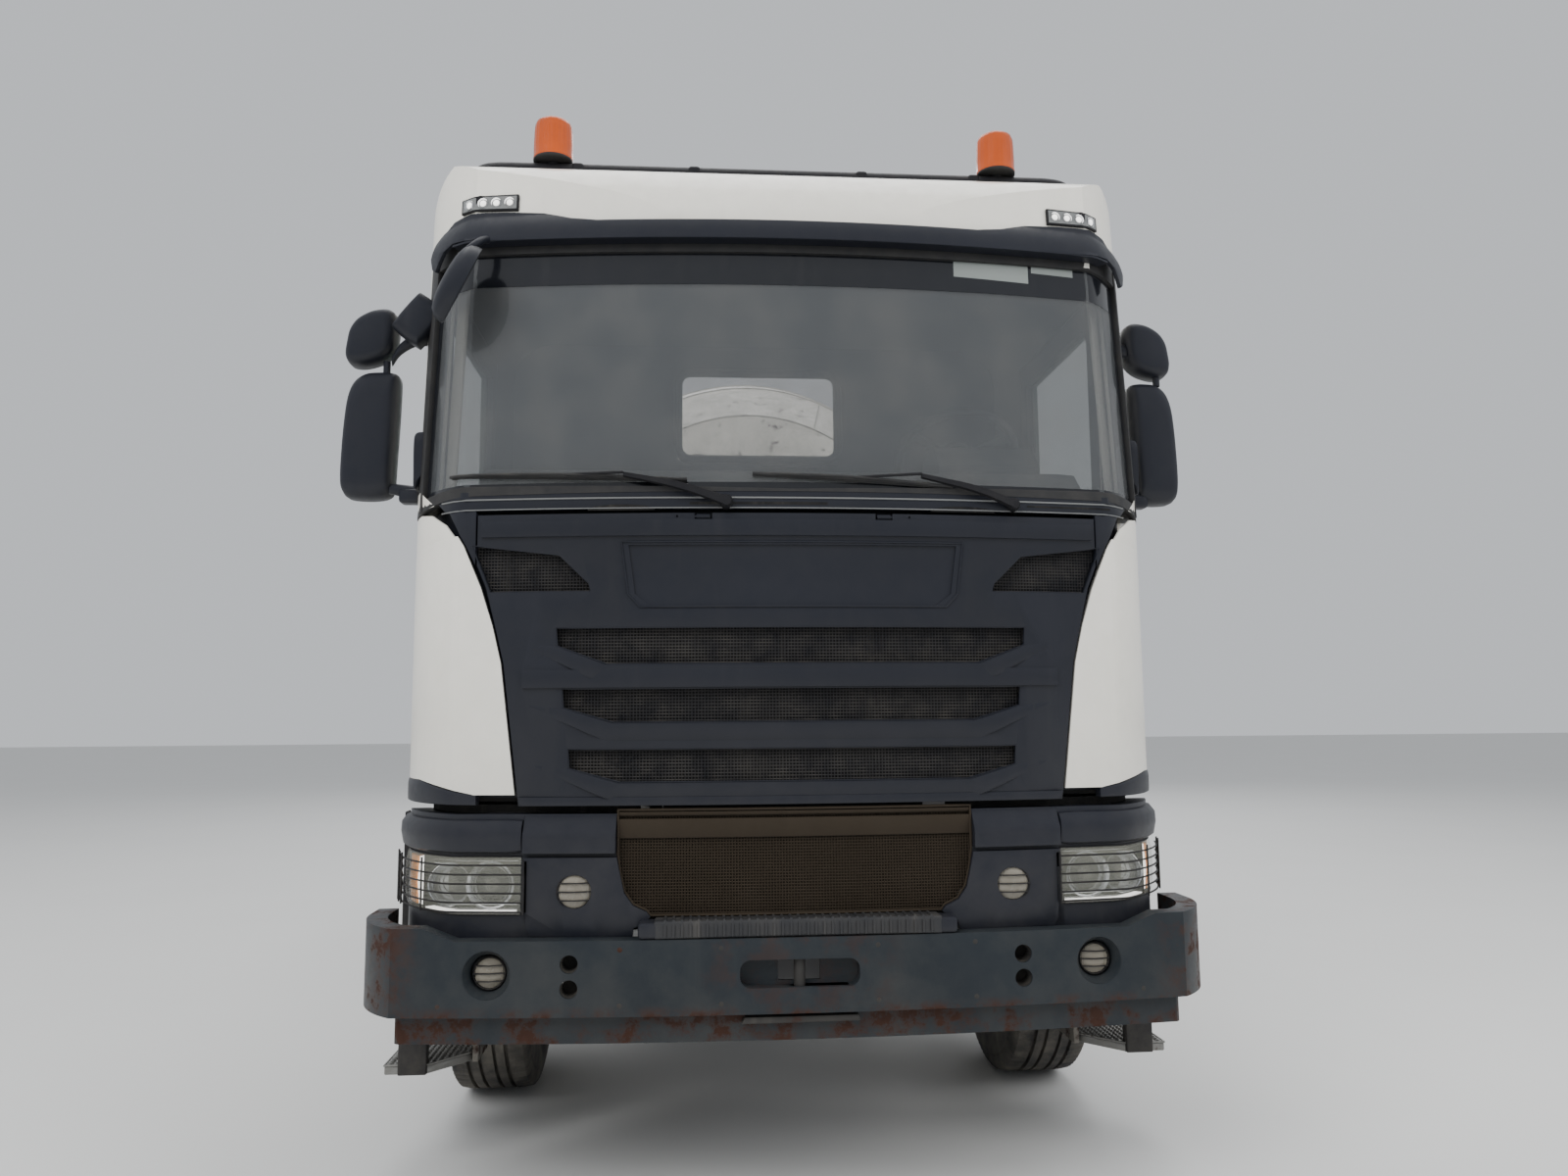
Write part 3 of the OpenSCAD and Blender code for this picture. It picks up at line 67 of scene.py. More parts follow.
class Shader:
    """A procedural material, built socket by socket in object space, in metres."""

    def __init__(self, name, **fixed):
        self.material = bpy.data.materials.new(name)
        self.material.use_nodes = True
        self.tree = self.material.node_tree
        self.main = self.tree.nodes["Principled BSDF"]
        for socket, value in fixed.items():
            self.set(socket.replace("_", " "), value)
        self.place = self.add("ShaderNodeTexCoord").outputs["Object"]

    def put(self, target, value):
        if isinstance(value, bpy.types.NodeSocket):
            self.tree.links.new(value, target)
        else:
            target.default_value = (*value, 1) if target.type == "RGBA" else value

    def set(self, socket, value):
        self.put(self.main.inputs[socket], value)

    def add(self, kind, inputs=(), **properties):
        node = self.tree.nodes.new(kind)
        for key, value in properties.items():
            setattr(node, key, value)
        for key, value in dict(inputs).items():
            self.put(node.inputs[key], value)
        return node

    def math(self, operation, a, b=0.0, clamp=False):
        return self.add("ShaderNodeMath", {0: a, 1: b}, operation=operation, use_clamp=clamp).outputs[0]

    def times(self, a, b):
        return self.math("MULTIPLY", a, b)

    def noise(self, scale, detail=4.0, stretch=(1, 1, 1), rough=0.55):
        place = self.add("ShaderNodeMapping", {"Vector": self.place, "Scale": stretch}).outputs[0]
        inputs = {"Vector": place, "Scale": scale, "Detail": detail, "Roughness": rough}
        return self.add("ShaderNodeTexNoise", inputs).outputs["Fac"]

    def span(self, value, low, high, to_low=0.0, to_high=1.0):
        inputs = {"Value": value, "From Min": low, "From Max": high, "To Min": to_low, "To Max": to_high}
        return self.add("ShaderNodeMapRange", inputs, clamp=True).outputs[0]

    def share(self, vector, which):
        return self.add("ShaderNodeSeparateXYZ", {0: vector}).outputs[which]

    def axis(self, which):
        return self.share(self.place, which)

    def upward(self):
        return self.span(self.share(self.add("ShaderNodeNewGeometry").outputs["Normal"], 2), 0.2, 1.0)

    def blend(self, factor, a, b):
        mix = self.add("ShaderNodeMix", {"Factor": factor, "A": a, "B": b}, data_type="RGBA")
        return mix.outputs["Result"]

    def bump(self, height, distance):
        self.set("Normal", self.add("ShaderNodeBump", {"Distance": distance, "Height": height}).outputs[0])


def shade(colour, factor):
    return tuple(min(1.0, c * factor) for c in colour)


def weathered(name, colour, rough=0.4, dust=0.3, low=0.4, streaks=0.2, grain=(600.0, 0.0003), uneven=0.08,
              dirt=DUST, rust=0.0, where=None, spatter=None, **fixed):
    """Paint, plastic or metal with uneven colour, dust on its upper faces, splashes low down and streaks."""
    s = Shader(name, **fixed)
    base = s.blend(s.span(s.noise(1.7, 5), 0.3, 0.7), shade(colour, 1 - uneven), shade(colour, 1 + uneven))
    above = s.span(s.upward(), 0.0, 1.0, 0.25 * dust, dust)
    settled = s.times(s.span(s.noise(14, 8, rough=0.65), 0.35, 0.75), above)
    splash = s.times(s.span(s.axis(2), 0.35, 1.7, low, 0.0), s.span(s.noise(5, 9, rough=0.7), 0.38, 0.68))
    runs = s.times(s.span(s.noise(9, 4, (2.2, 2.2, 0.12)), 0.52, 0.78), streaks)
    total = s.math("MAXIMUM", settled, s.math("MAXIMUM", splash, runs), clamp=True)
    coloured = s.blend(total, base, dirt)
    uneven_gloss = s.span(s.noise(40, 6), 0.3, 0.7, -0.04, 0.05)
    roughness = s.math("ADD", s.span(total, 0.0, 1.0, rough, 0.92), uneven_gloss)
    if spatter:
        cake = s.times(s.span(s.noise(8, 12, rough=0.75), 0.52, 0.57), s.span(s.axis(1), *spatter))
        coloured = s.blend(cake, coloured, CONCRETE)
        roughness = s.math("MAXIMUM", roughness, s.times(cake, 0.95))
    if rust:
        spots = s.span(s.noise(11, 12, rough=0.72), 0.6 - 0.16 * rust, 0.66 - 0.1 * rust)
        if where:
            spots = s.times(spots, where(s))
        coloured = s.blend(spots, coloured, s.blend(s.noise(60, 6), RUST, shade(RUST, 1.8)))
        roughness = s.math("MAXIMUM", roughness, s.times(spots, 0.85))
    s.set("Base Color", coloured)
    s.set("Roughness", roughness)
    s.bump(s.noise(grain[0], 3), grain[1])
    return s.material


def bumper_rust(s):
    """The bumper rusts at its ends, along its lower edge and around the towing recess."""
    side = s.math("ABSOLUTE", s.axis(0))
    ends = s.span(side, 1.04, 1.15)
    recess = s.times(s.span(side, 0.3, 0.2), 0.4)
    return s.math("MAXIMUM", s.math("MAXIMUM", ends, s.span(s.axis(2), 0.64, 0.612)), recess, clamp=True)


def glass(name, colour, alpha, dust):
    """Glass seen through by its alpha, under an uneven film of dust."""
    s = Shader(name, Specular_IOR_Level=0.7, IOR=1.5)
    film = s.times(s.span(s.noise(5, 2), 0.4, 0.75), dust)
    s.set("Base Color", s.blend(film, colour, DUST))
    s.set("Alpha", s.math("ADD", s.times(film, 0.5), alpha, clamp=True))
    s.set("Roughness", s.span(film, 0.0, 1.0, 0.03, 0.6))
    return s.material


def glowing(name, colour, strength):
    s = Shader(name, Roughness=0.25, Emission_Color=colour, Emission_Strength=strength)
    s.set("Base Color", s.blend(s.noise(90, 3), colour, shade(colour, 0.85)))
    return s.material


def clear_plastic(name, colour, alpha, rough=0.08):
    s = Shader(name, Specular_IOR_Level=0.6, Alpha=alpha)
    s.set("Base Color", s.blend(s.span(s.noise(5, 6), 0.4, 0.7), colour, shade(colour, 0.8)))
    s.set("Roughness", s.span(s.noise(30, 5), 0.3, 0.8, rough, rough + 0.15))
    return s.material


MATT = {"Specular_IOR_Level": 0.25}
INDOORS = {"low": 0.0, "streaks": 0.0, "grain": (60, 0.0)}
LOOKS = {
    "cream": weathered("cream_paint", CREAM, 0.32, 0.35, 0.35, 0.1, (900, 0.00008), 0.03, Coat_Weight=0.35),
    "slate": weathered("slate_plastic", SLATE, 0.42, 0.05, 0.1, 0.02, (700, 0.00008),
                       Specular_IOR_Level=0.33),
    "black": weathered("black_plastic", BLACK, 0.5, 0.1, 0.2, 0.03, (1400, 0.0002), **MATT),
    "mesh": weathered("mesh_plastic", shade(BLACK, 1.5), 0.7, 0.5, 0.5, 0.15),
    "dusty": weathered("dusty_mesh", (0.03, 0.023, 0.016), 0.8, 0.3, 0.45, 0.15, dirt=(0.07, 0.055, 0.04),
                       Specular_IOR_Level=0.2),
    "chassis": weathered("chassis_paint", (0.03, 0.032, 0.036), 0.5, 0.5, 0.6, rust=0.25),
    "bumper": weathered("bumper_paint", STEEL_BLUE, 0.45, 0.09, 0.1, 0.05, rust=0.8, where=bumper_rust,
                        **MATT),
    "iron": weathered("axle_iron", (0.03, 0.029, 0.028), 0.7, 0.5, 0.8, rust=0.5),
    "engine": weathered("engine_iron", (0.16, 0.16, 0.165), 0.6, 0.5, 0.4, Metallic=0.3),
    "tank": weathered("tank_metal", shade(ALUMINIUM, 0.7), 0.36, 0.35, 0.5, 0.3, Metallic=0.9),
    "step": weathered("step_metal", (0.27, 0.27, 0.26), 0.45, 0.3, 0.35, rust=0.15, Metallic=0.8),
    "rim": weathered("rim_paint", GREY_PAINT, 0.45, 0.3, 0.7, rust=0.2),
    "rubber": weathered("tyre_rubber", RUBBER, 0.75, 0.5, 0.65, 0.0, (350, 0.0006)),
    "seal": weathered("rubber_seal", shade(RUBBER, 0.9), 0.6, 0.25, 0.2, 0.0),
    "steel": weathered("worn_steel", (0.16, 0.15, 0.135), 0.5, 0.3, 0.4, rust=0.55, Metallic=0.6),
    "bolt": weathered("bolt_steel", (0.12, 0.115, 0.105), 0.45, 0.2, 0.2, rust=0.5, Metallic=0.8),
    "chrome": weathered("bright_metal", (0.75, 0.76, 0.78), 0.12, 0.1, 0.1, 0.0, (300, 0.0), Metallic=1.0),
    "interior": weathered("interior_plastic", (0.028, 0.028, 0.03), 0.6, 0.15, **INDOORS),
    "glass": glass("cab_glass", (0.105, 0.112, 0.118), 0.42, 0.12),
    "rear_glass": glass("rear_glass", (0.16, 0.17, 0.165), 0.06, 0.05),
    "side_glass": glass("side_glass", (0.4, 0.6, 0.5), 0.3, 0.08),
    "frit": weathered("printed_band", (0.008, 0.009, 0.012), 0.12, 0.05, 0.0, 0.03, (900, 0.0)),
    "label": weathered("blank_label", (0.2, 0.22, 0.21), 0.35, 0.1, 0.0, 0.1, (900, 0.0)),
    "lining": weathered("cab_lining", (0.026, 0.027, 0.03), 0.9, 0.05, Specular_IOR_Level=0.1, **INDOORS),
    "darkened": weathered("worn_iron", (0.028, 0.027, 0.026), 0.6, 0.08, 0.1, rust=0.5, **MATT),
    "trim": weathered("pillar_trim", (0.62, 0.61, 0.54), 0.6, 0.1, 0.0, 0.1, (900, 0.0004)),
    "dash": weathered("dash_plastic", (0.075, 0.078, 0.072), 0.8, 0.4, Specular_IOR_Level=0.2, **INDOORS),
    "grey": weathered("grey_plastic", (0.16, 0.165, 0.165), 0.4, 0.2, 0.1),
    "lens": clear_plastic("lamp_lens", (0.62, 0.62, 0.52), 0.16),
    "amber": clear_plastic("amber_lens", (0.9, 0.33, 0.03), 0.82, 0.15),
    "red": clear_plastic("red_lens", (0.5, 0.015, 0.01), 0.9, 0.15),
    "worn": weathered("worn_plastic", (0.02, 0.021, 0.024), 0.45, 0.15, 0.15, Specular_IOR_Level=0.35),
    # near-black painted shade: sheets behind the hatch screens and the gap under the cab, and the insides of
    # the cowl slots and towing sockets
    "dark": weathered("painted_shade_black", shade(BLACK, 0.5), 0.9, 0.3, 0.3),
    "dull_lens": clear_plastic("dull_lens", (0.33, 0.3, 0.24), 0.62, 0.2),
    "beacon": clear_plastic("beacon_lens", (0.52, 0.075, 0.003), 0.94, 0.12),
    "drum": weathered("drum_paint", shade(CREAM, 0.9), 0.34, 0.6, 0.2, 0.35, uneven=0.07, rust=0.12,
                      spatter=(1.0, 3.6), Coat_Weight=0.25),
    "seam": weathered("weld_seam", shade(CREAM, 0.55), 0.5, 0.6, 0.2, 0.3, rust=0.4),
    "hopper": weathered("hopper_paint", shade(CREAM, 0.92), 0.5, 0.6, 0.3, 0.5, rust=0.1, spatter=(2.2, 3.2)),
    "chute": weathered("chute_steel", (0.2, 0.19, 0.17), 0.5, 0.5, 0.3, rust=0.5, spatter=(1.0, 2.6),
                       Metallic=0.5),
    "lit": glowing("lamp_light", (1.0, 0.98, 0.94), 1.5),
    "mirror": weathered("mirror_glass", (0.8, 0.82, 0.84), 0.04, 0.1, 0.0, 0.05, (300, 0.0), Metallic=1.0),
}
NODES_OF = {
    "chassis": "frame rear_bar", "hopper": "mixer_frame hoppers", "drum": "drum", "bumper": "bumper",
    "slate": "front_carrier visor hatch cowl mirrors", "mesh": "hatch_mesh", "dusty": "lower_grille",
    "lens": "headlamps", "step": "steps ladder", "engine": "engine drum_drive",
    "iron": "front_axles rear_axles", "tank": "fuel_tank water_tank", "interior": "steering_wheel",
    "black": "side_boxes mudguards roof_bar", "glass": "cab_glass", "dash": "cab_interior",
    "cream": "cab_shell corner_panels door_left door_right", "amber": "beacons",
    "side_glass": "door_glass_left door_glass_right", "steel": "roller_left roller_right",
    "chute": "chute_arm chute chute_end",
}
LOOK_OF = {node: look for look, names in NODES_OF.items() for node in names.split()}


def look_of(node):
    for start, look in (("tyre", "rubber"), ("rim", "rim"), ("knuckle", "iron")):
        if node.startswith(start):
            return look
    return LOOK_OF[node]


def finish_mesh(mesh, angle=35):
    mesh.shade_smooth()
    mesh.set_sharp_from_angle(angle=math.radians(angle))


def read(*meshes):
    """A bmesh with all of the meshes in it."""
    build = bmesh.new()
    for mesh in meshes:
        build.from_mesh(mesh)
    return build


def written(build):
    """The mesh made from a bmesh, which is freed."""
    mesh = bpy.data.meshes.new("made")
    build.to_mesh(mesh)
    build.free()
    return mesh


def new_mesh(build):
    bmesh.ops.recalc_face_normals(build, faces=build.faces)
    return written(build)


def mirrored(*meshes):
    """The meshes and their mirror images across the middle of the truck, as one."""
    build = read(*meshes)
    made = bmesh.ops.duplicate(build, geom=build.verts[:] + build.edges[:] + build.faces[:])["geom"]
    for v in made:
        if isinstance(v, bmesh.types.BMVert):
            v.co.x = -v.co.x
    bmesh.ops.reverse_faces(build, faces=[f for f in made if isinstance(f, bmesh.types.BMFace)])
    return written(build)


def piece(name, mesh, body, look, slot, stands_for=None):
    """Links a mesh as a piece of the object that rides on a body."""
    obj = bpy.data.objects.new(name, mesh)
    bpy.context.scene.collection.objects.link(obj)
    mesh.materials.clear()
    mesh.materials.append(LOOKS[look])
    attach(obj, body)
    if stands_for:
        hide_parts(stands_for)


def group(name, body, look, slot, *meshes, stands_for=None, angle=35):
    """One piece out of several meshes."""
    whole = written(read(*meshes))
    finish_mesh(whole, angle)
    piece(name, whole, body, look, slot, stands_for)


def pair(name, body, look, slot, *meshes, **how):
    """One piece out of several meshes and their mirror images."""
    group(name, body, look, slot, mirrored(*meshes), **how)


def bevelled(mesh, width, segments=2, angle=40, **how):
    """The mesh with its sharp edges rounded."""
    obj = bpy.data.objects.new("scratch", mesh)
    bpy.context.scene.collection.objects.link(obj)
    modifier = obj.modifiers.new("rounding", "BEVEL")
    settings = {"width": width, "segments": segments, "limit_method": "ANGLE",
                "angle_limit": math.radians(angle)}
    for key, value in (settings | how).items():
        setattr(modifier, key, value)
    done = bpy.data.meshes.new_from_object(obj.evaluated_get(bpy.context.evaluated_depsgraph_get()))
    bpy.data.objects.remove(obj)
    return done


def softened(node, width=0.003, segments=2, gone=None):
    """Replaces a node by the same form with rounded edges, without the vertices for which gone is true."""
    build = read(nodes[node].data)
    if gone:
        bmesh.ops.delete(build, geom=[v for v in build.verts if gone(v.co)], context="VERTS")
    bmesh.ops.remove_doubles(build, verts=build.verts, dist=0.00002)
    bmesh.ops.dissolve_limit(build, angle_limit=math.radians(0.6), verts=build.verts, edges=build.edges)
    mesh = bevelled(written(build), width, segments, 32, miter_outer="MITER_ARC")
    finish_mesh(mesh, 40)
    piece(node + "_soft", mesh, body_of[node], look_of(node), slot_of[node], node)


def make_camera():
    """The camera of the photograph, solved from mirrored points on the front."""
    focal_px = 1139.5
    image_w_px = 1600
    eye = Vector((-0.286, FRONT_Y - 3.201, 1.43))
    yaw, pitch, roll = (math.radians(a) for a in (-4.44, 6.55, 0.45))
    data = bpy.data.cameras.new("camera")
    data.sensor_width = 36
    data.lens = focal_px * data.sensor_width / image_w_px
    camera = bpy.data.objects.new("camera", data)
    turn = Matrix.Rotation(yaw, 3, "Z") @ Matrix.Rotation(pitch, 3, "X") @ Matrix.Rotation(roll, 3, "Y")
    basis = Matrix((turn.col[0], turn.col[2], -turn.col[1])).transposed()
    camera.matrix_world = Matrix.Translation(eye) @ basis.to_4x4()
    bpy.context.scene.collection.objects.link(camera)
    bpy.context.scene.camera = camera


def make_stage():
    """A plain pale floor, a pale surround and soft light."""
    bpy.ops.mesh.primitive_plane_add(size=120)
    floor = bpy.context.object
    floor.name = "floor"
    s = Shader("floor", Roughness=0.7)
    s.set("Base Color", s.blend(s.noise(0.8, 6), (0.62, 0.62, 0.61), (0.66, 0.66, 0.65)))
    floor.data.materials.append(s.material)
    world = bpy.data.worlds.new("world")
    world.use_nodes = True
    world.node_tree.nodes["Background"].inputs["Color"].default_value = (0.86, 0.89, 0.93, 1)
    world.node_tree.nodes["Background"].inputs["Strength"].default_value = 0.75
    bpy.context.scene.world = world
    front = (0, FRONT_Y + 2, 1.5)
    lamps = (("key", (-5, FRONT_Y - 6, 8), front, 900, 6, False),
             ("fill", (7, FRONT_Y - 3, 6), front, 450, 6, False),
             ("back", (2, 12, 9), front, 700, 8, True),
             ("top", (0, 0, 11), (0, 0, 0), 600, 9, True))
    for name, at, aim, power, size, shines in lamps:
        data = bpy.data.lights.new(name, "AREA")
        data.energy = power
        data.size = size
        lamp = bpy.data.objects.new(name, data)
        lamp.location = at
        lamp.rotation_mode = "QUATERNION"
        lamp.rotation_quaternion = (Vector(aim) - Vector(at)).to_track_quat("-Z", "Y")
        lamp.visible_glossy = shines
        bpy.context.scene.collection.objects.link(lamp)


def dress_nodes():
    """Every carried-over node gets its material."""
    for name, node in nodes.items():
        node.data.materials.clear()
        node.data.materials.append(LOOKS[look_of(name)])
        finish_mesh(node.data, 40 if name in ("drum", "hoppers") else 30)


def spot(x, d, z):
    """A point given by its distance behind the bumper's face."""
    return Vector((x, FRONT_Y + d, z))


class Plan:
    """The curved plan of a front, followed by the distance along its skin from the middle."""

    def __init__(self, front, radius, corner, half):
        """Each spot is the distance along the skin, x, d and the x and d of the way out."""
        self.front, self.radius, self.corner, self.half = front, radius, corner, half
        self.spots = []
        centre = half - corner
        x = 0.0
        while x <= centre or (radius - math.sqrt(radius ** 2 - x * x)
                              > corner - math.sqrt(corner ** 2 - (x - centre) ** 2)):
            flat = math.sqrt(1 - (x / radius) ** 2)
            self.add(x, front + radius - radius * flat, x / radius, -flat)
            x += 0.02
        a = math.asin((x - centre) / corner)
        while a < math.pi / 2:
            sin, cos = math.sin(a), math.cos(a)
            self.add(centre + corner * sin, front + corner * (1 - cos), sin, -cos)
            a += math.radians(4)
        for d in (front + corner, front + corner + 2.0):
            self.add(half, d, 1.0, 0.0)

    def add(self, x, d, *outward):
        way = 0.0
        if self.spots:
            last = self.spots[-1]
            way = last[0] + math.hypot(x - last[1], d - last[2])
        self.spots.append((way, x, d, *outward))

    def around(self, key, value):
        """The two spots on both sides of a value."""
        for one, two in zip(self.spots, self.spots[1:]):
            if value <= two[key]:
                break
        return one, two

    def along(self, key, value):
        """Distance along the skin to where a coordinate of the spots reaches a value."""
        one, two = self.around(key, value)
        return one[0] + (value - one[key]) / (two[key] - one[key]) * (two[0] - one[0])

    def by_x(self, x):
        return math.copysign(self.along(1, abs(x)), x)

    def by_d(self, d):
        """Distance along the skin to a place on the side, by how far behind the bumper's face it is."""
        return self.along(2, d)

    def at(self, s, out=0.0):
        one, two = self.around(0, abs(s))
        f = (abs(s) - one[0]) / (two[0] - one[0])
        x, d, nx, nd = (a + f * (b - a) for a, b in zip(one[1:], two[1:]))
        return math.copysign(1, s) * (x + nx * out), d + nd * out


CAB = Plan(0.06, 6.0, 0.48, 1.2)
BUMPER = Plan(0.0, 9.4, 0.33, 1.265)
RAKE = math.radians(6)
SCREEN_Z = 2.08


def leant(x, d, z):
    """A point leant back about the windscreen's lower edge."""
    dy, dz = d - CAB.front, z - SCREEN_Z
    return spot(x, CAB.front + dy * math.cos(RAKE) + dz * math.sin(RAKE),
                SCREEN_Z - dy * math.sin(RAKE) + dz * math.cos(RAKE))


def on_skin(s, z, out=0.0):
    """A point of the cab's front by its distance along the skin."""
    return spot(*CAB.at(s, out), z)


def on_front(x, z, out=0.0, plan=CAB):
    """A point of a curved front by its place across."""
    return spot(*plan.at(plan.by_x(x), out), z)


def up_z(x, z, out=0.0):
    """The height before the lean of a point that lies at height z on the leaning front."""
    deep = CAB.at(CAB.by_x(x), out)[1] - CAB.front
    return SCREEN_Z + (z - SCREEN_Z + deep * math.sin(RAKE)) / math.cos(RAKE)


def on_screen(x, z, out=0.0):
    """A point of the leaning front at a place across and a height."""
    return leant(*CAB.at(CAB.by_x(x), out), up_z(x, z, out))


def rect(x0, x1, z0, z1):
    return [(x0, z0), (x1, z0), (x1, z1), (x0, z1)]


def mirror_x(points):
    return points + [(-x, z) for x, z in reversed(points)]


def resampled(points, step):
    """More points along a closed outline."""
    line = []
    for (x0, z0), (x1, z1) in zip(points, points[1:] + points[:1]):
        count = max(1, int(math.hypot(x1 - x0, z1 - z0) / step))
        line += [(x0 + (x1 - x0) * k / count, z0 + (z1 - z0) * k / count) for k in range(count)]
    return line


def between(p, q, count):
    """Points from one to another in equal steps."""
    return [tuple(a + (b - a) * k / count for a, b in zip(p, q)) for k in range(count + 1)]


def circle(count, start=0.0):
    """Cosines and sines of evenly spread angles."""
    angles = (2 * math.pi * (k + start) / count for k in range(count))
    return [(math.cos(a), math.sin(a)) for a in angles]


def curve(a, b, c, d, t):
    """A point between b and c of the smooth curve through four points."""
    bend = (2 * a - 5 * b + 4 * c - d) * t * t + (3 * b - a - 3 * c + d) * t ** 3
    return 0.5 * (2 * b + (c - a) * t + bend)


def smooth_line(points, count):
    """Points of a smooth curve through the given ones."""
    wide = [points[0], *points, points[-1]]
    line = [curve(*wide[i:i + 4], k / count) for i in range(len(points) - 1) for k in range(count)]
    return line + [points[-1]]


def add_skin(build, rings, closed=False):
    """Faces between rings of points; a ring may be a single point, and the rings may close in a circle."""
    rows = [[build.verts.new(p) for p in ring] for ring in rings]
    for a, b in zip(rows, rows[1:] + rows[:1] if closed else rows[1:]):
        for k in range(max(len(a), len(b))):
            corners = (a[k % len(a)], a[(k + 1) % len(a)], b[(k + 1) % len(b)], b[k % len(b)])
            build.faces.new(list(dict.fromkeys(corners)))
    return rows


def skin(rings, closed=False, caps=True):
    """A mesh over rings of points, with its ends closed."""
    build = bmesh.new()
    rows = add_skin(build, rings, closed)
    if caps and not closed:
        build.faces.new(rows[0])
        build.faces.new(rows[-1])
    return new_mesh(build)


def rod(points, r, sides=8, closed=False):
    """A round bar along points."""
    rings = []
    last = len(points) - 1
    across = None
    for i, p in enumerate(points):
        before = points[i - 1] if i or closed else p
        after = points[(i + 1) % len(points)] if i < last or closed else p
        way = (after - before).normalized()
        if across is None:
            across = way.orthogonal().normalized()
        across = (across - way * across.dot(way)).normalized()
        other = way.cross(across)
        rings.append([p + r * (cos * across + sin * other) for cos, sin in circle(sides)])
    return skin(rings, closed)


def skin_rod(points, out, r, step=0.04):
    """A thin bar along a closed outline of (x, z) points on the cab's front."""
    return rod([on_front(x, z, out) for x, z in resampled(points, step)], r, 6, closed=True)


def turned(profile, at, axis=(0, 0, 1), segments=32, dent=None):
    """A profile of (radius, distance along the axis) points turned about an axis through at."""
    turn = Vector((0, 0, 1)).rotation_difference(Vector(axis).normalized()).to_matrix()
    rings = []
    for i, (r, h) in enumerate(profile):
        if r < 1e-6:
            rings.append([at + turn @ Vector((0, 0, h))])
            continue
        ring = []
        for k, (cos, sin) in enumerate(circle(segments)):
            own_r = r - (dent(i, k) if dent else 0.0)
            ring.append(at + turn @ Vector((own_r * cos, own_r * sin, h)))
        rings.append(ring)
    return skin(rings, caps=False)


def sweep(section, s0, s1):
    """A section of (out, z) points, or one worked out for each place, drawn along the cab's skin."""
    count = max(2, int(abs(s1 - s0) / 0.03) + 1)
    places = [s0 + (s1 - s0) * i / count for i in range(count + 1)]
    return skin([[on_skin(s, z, out) for out, z in (section(s) if callable(section) else section)]
                 for s in places])


def slab(s0, s1, out0, out1, z0, z1):
    """A flat strip along the cab's skin."""
    return sweep(rect(out0, out1, z0, z1), s0, s1)


def plate(points, out0, out1, plan=CAB, lean=False, flat=True, bevel=0.0, row=0.0):
    """A plate on a curved front, from (x, z) points, or (distance along the skin, z) where flat is off."""
    build = bmesh.new()
    spots = [((plan.by_x(x) if flat else x), z) for x, z in points]
    build.faces.new([build.verts.new((s, 0, z)) for s, z in spots])

    def cut(place, across):
        geometry = build.verts[:] + build.edges[:] + build.faces[:]
        bmesh.ops.bisect_plane(build, geom=geometry, plane_co=place, plane_no=across, dist=1e-5)

    step = 0.04
    low, high = min(s for s, z in spots), max(s for s, z in spots)
    for k in range(math.ceil(low / step), math.ceil(high / step)):
        cut((k * step, 0, 0), (1, 0, 0))
    if row:
        low, high = min(z for s, z in spots), max(z for s, z in spots)
        for k in range(1, int((high - low) / row)):
            cut((0, 0, low + k * row), (0, 0, 1))
    back = list(build.verts)
    made = bmesh.ops.extrude_face_region(build, geom=build.faces[:], use_keep_orig=True)
    front = [v for v in made["geom"] if isinstance(v, bmesh.types.BMVert)]
    for verts, out in ((back, out0), (front, out1)):
        for v in verts:
            s, z = v.co.x, v.co.z
            x, d = plan.at(s, out(s, z) if callable(out) else out)
            v.co = leant(x, d, z) if lean else spot(x, d, z)
    mesh = new_mesh(build)
    return bevelled(mesh, bevel) if bevel else mesh


def screen_plate(points, out0, out1, **how):
    """A plate on the leaning front from an outline of (x, height) points."""
    return plate([(x, up_z(x, z)) for x, z in resampled(points, 0.05)], out0, out1, lean=True, **how)


def cushion(low, high, r):
    """A block with rounded edges between two corners, each given as for spot."""
    build = bmesh.new()
    bmesh.ops.create_cube(build, size=1)
    low, high = spot(*low), spot(*high)
    for v in build.verts:
        v.co = (high - low) * v.co
    bmesh.ops.bevel(build, geom=build.edges[:], offset=r, segments=3, profile=0.5, affect="EDGES")
    for v in build.verts:
        v.co += (high + low) / 2
    return new_mesh(build)


def rounded(x0, x1, z0, z1, r, count, grow=0.0):
    """Points around a box with rounded corners, which may stand out from it."""
    line = []
    corners = ((x1 - r, z1 - r, 0), (x0 + r, z1 - r, 90), (x0 + r, z0 + r, 180), (x1 - r, z0 + r, 270))
    for x, z, turn in corners:
        angles = [math.radians(turn + 90 * k / (count - 1)) for k in range(count)]
        line += [(x + (r + grow) * math.cos(a), z + (r + grow) * math.sin(a)) for a in angles]
    return line


def mesh_panel(outline, pitch, wire, out):
    """A woven screen on the cab's front: wires along and across, kept inside an outline of (x, z) points."""
    build = bmesh.new()

    def spans(value, key):
        """Where a line at this place across or height crosses the outline."""
        cuts = []
        for p, q in zip(outline, outline[1:] + outline[:1]):
            if (p[key] <= value) != (q[key] <= value):
                cuts.append(p[1 - key] + (value - p[key]) / (q[key] - p[key]) * (q[1 - key] - p[1 - key]))
        cuts.sort()
        return zip(cuts[::2], cuts[1::2])

    for key in (1, 0):
        value = min(p[key] for p in outline) + pitch / 2
        while value < max(p[key] for p in outline):
            for a, b in spans(value, key):
                if key:
                    count = max(1, int((b - a) / 0.06))
                    path = [on_front(x, value, out) for x, in between((a,), (b,), count)]
                    square = ((0, -wire, 0), (0, 0, wire), (0, wire, 0), (0, 0, -wire))
                else:
                    path = [on_front(value, a, out), on_front(value, b, out)]
                    square = ((-wire, 0, 0), (0, -wire, 0), (wire, 0, 0), (0, wire, 0))
                add_skin(build, [[p + Vector(o) for o in square] for p in path])
            value += pitch
    return written(build)


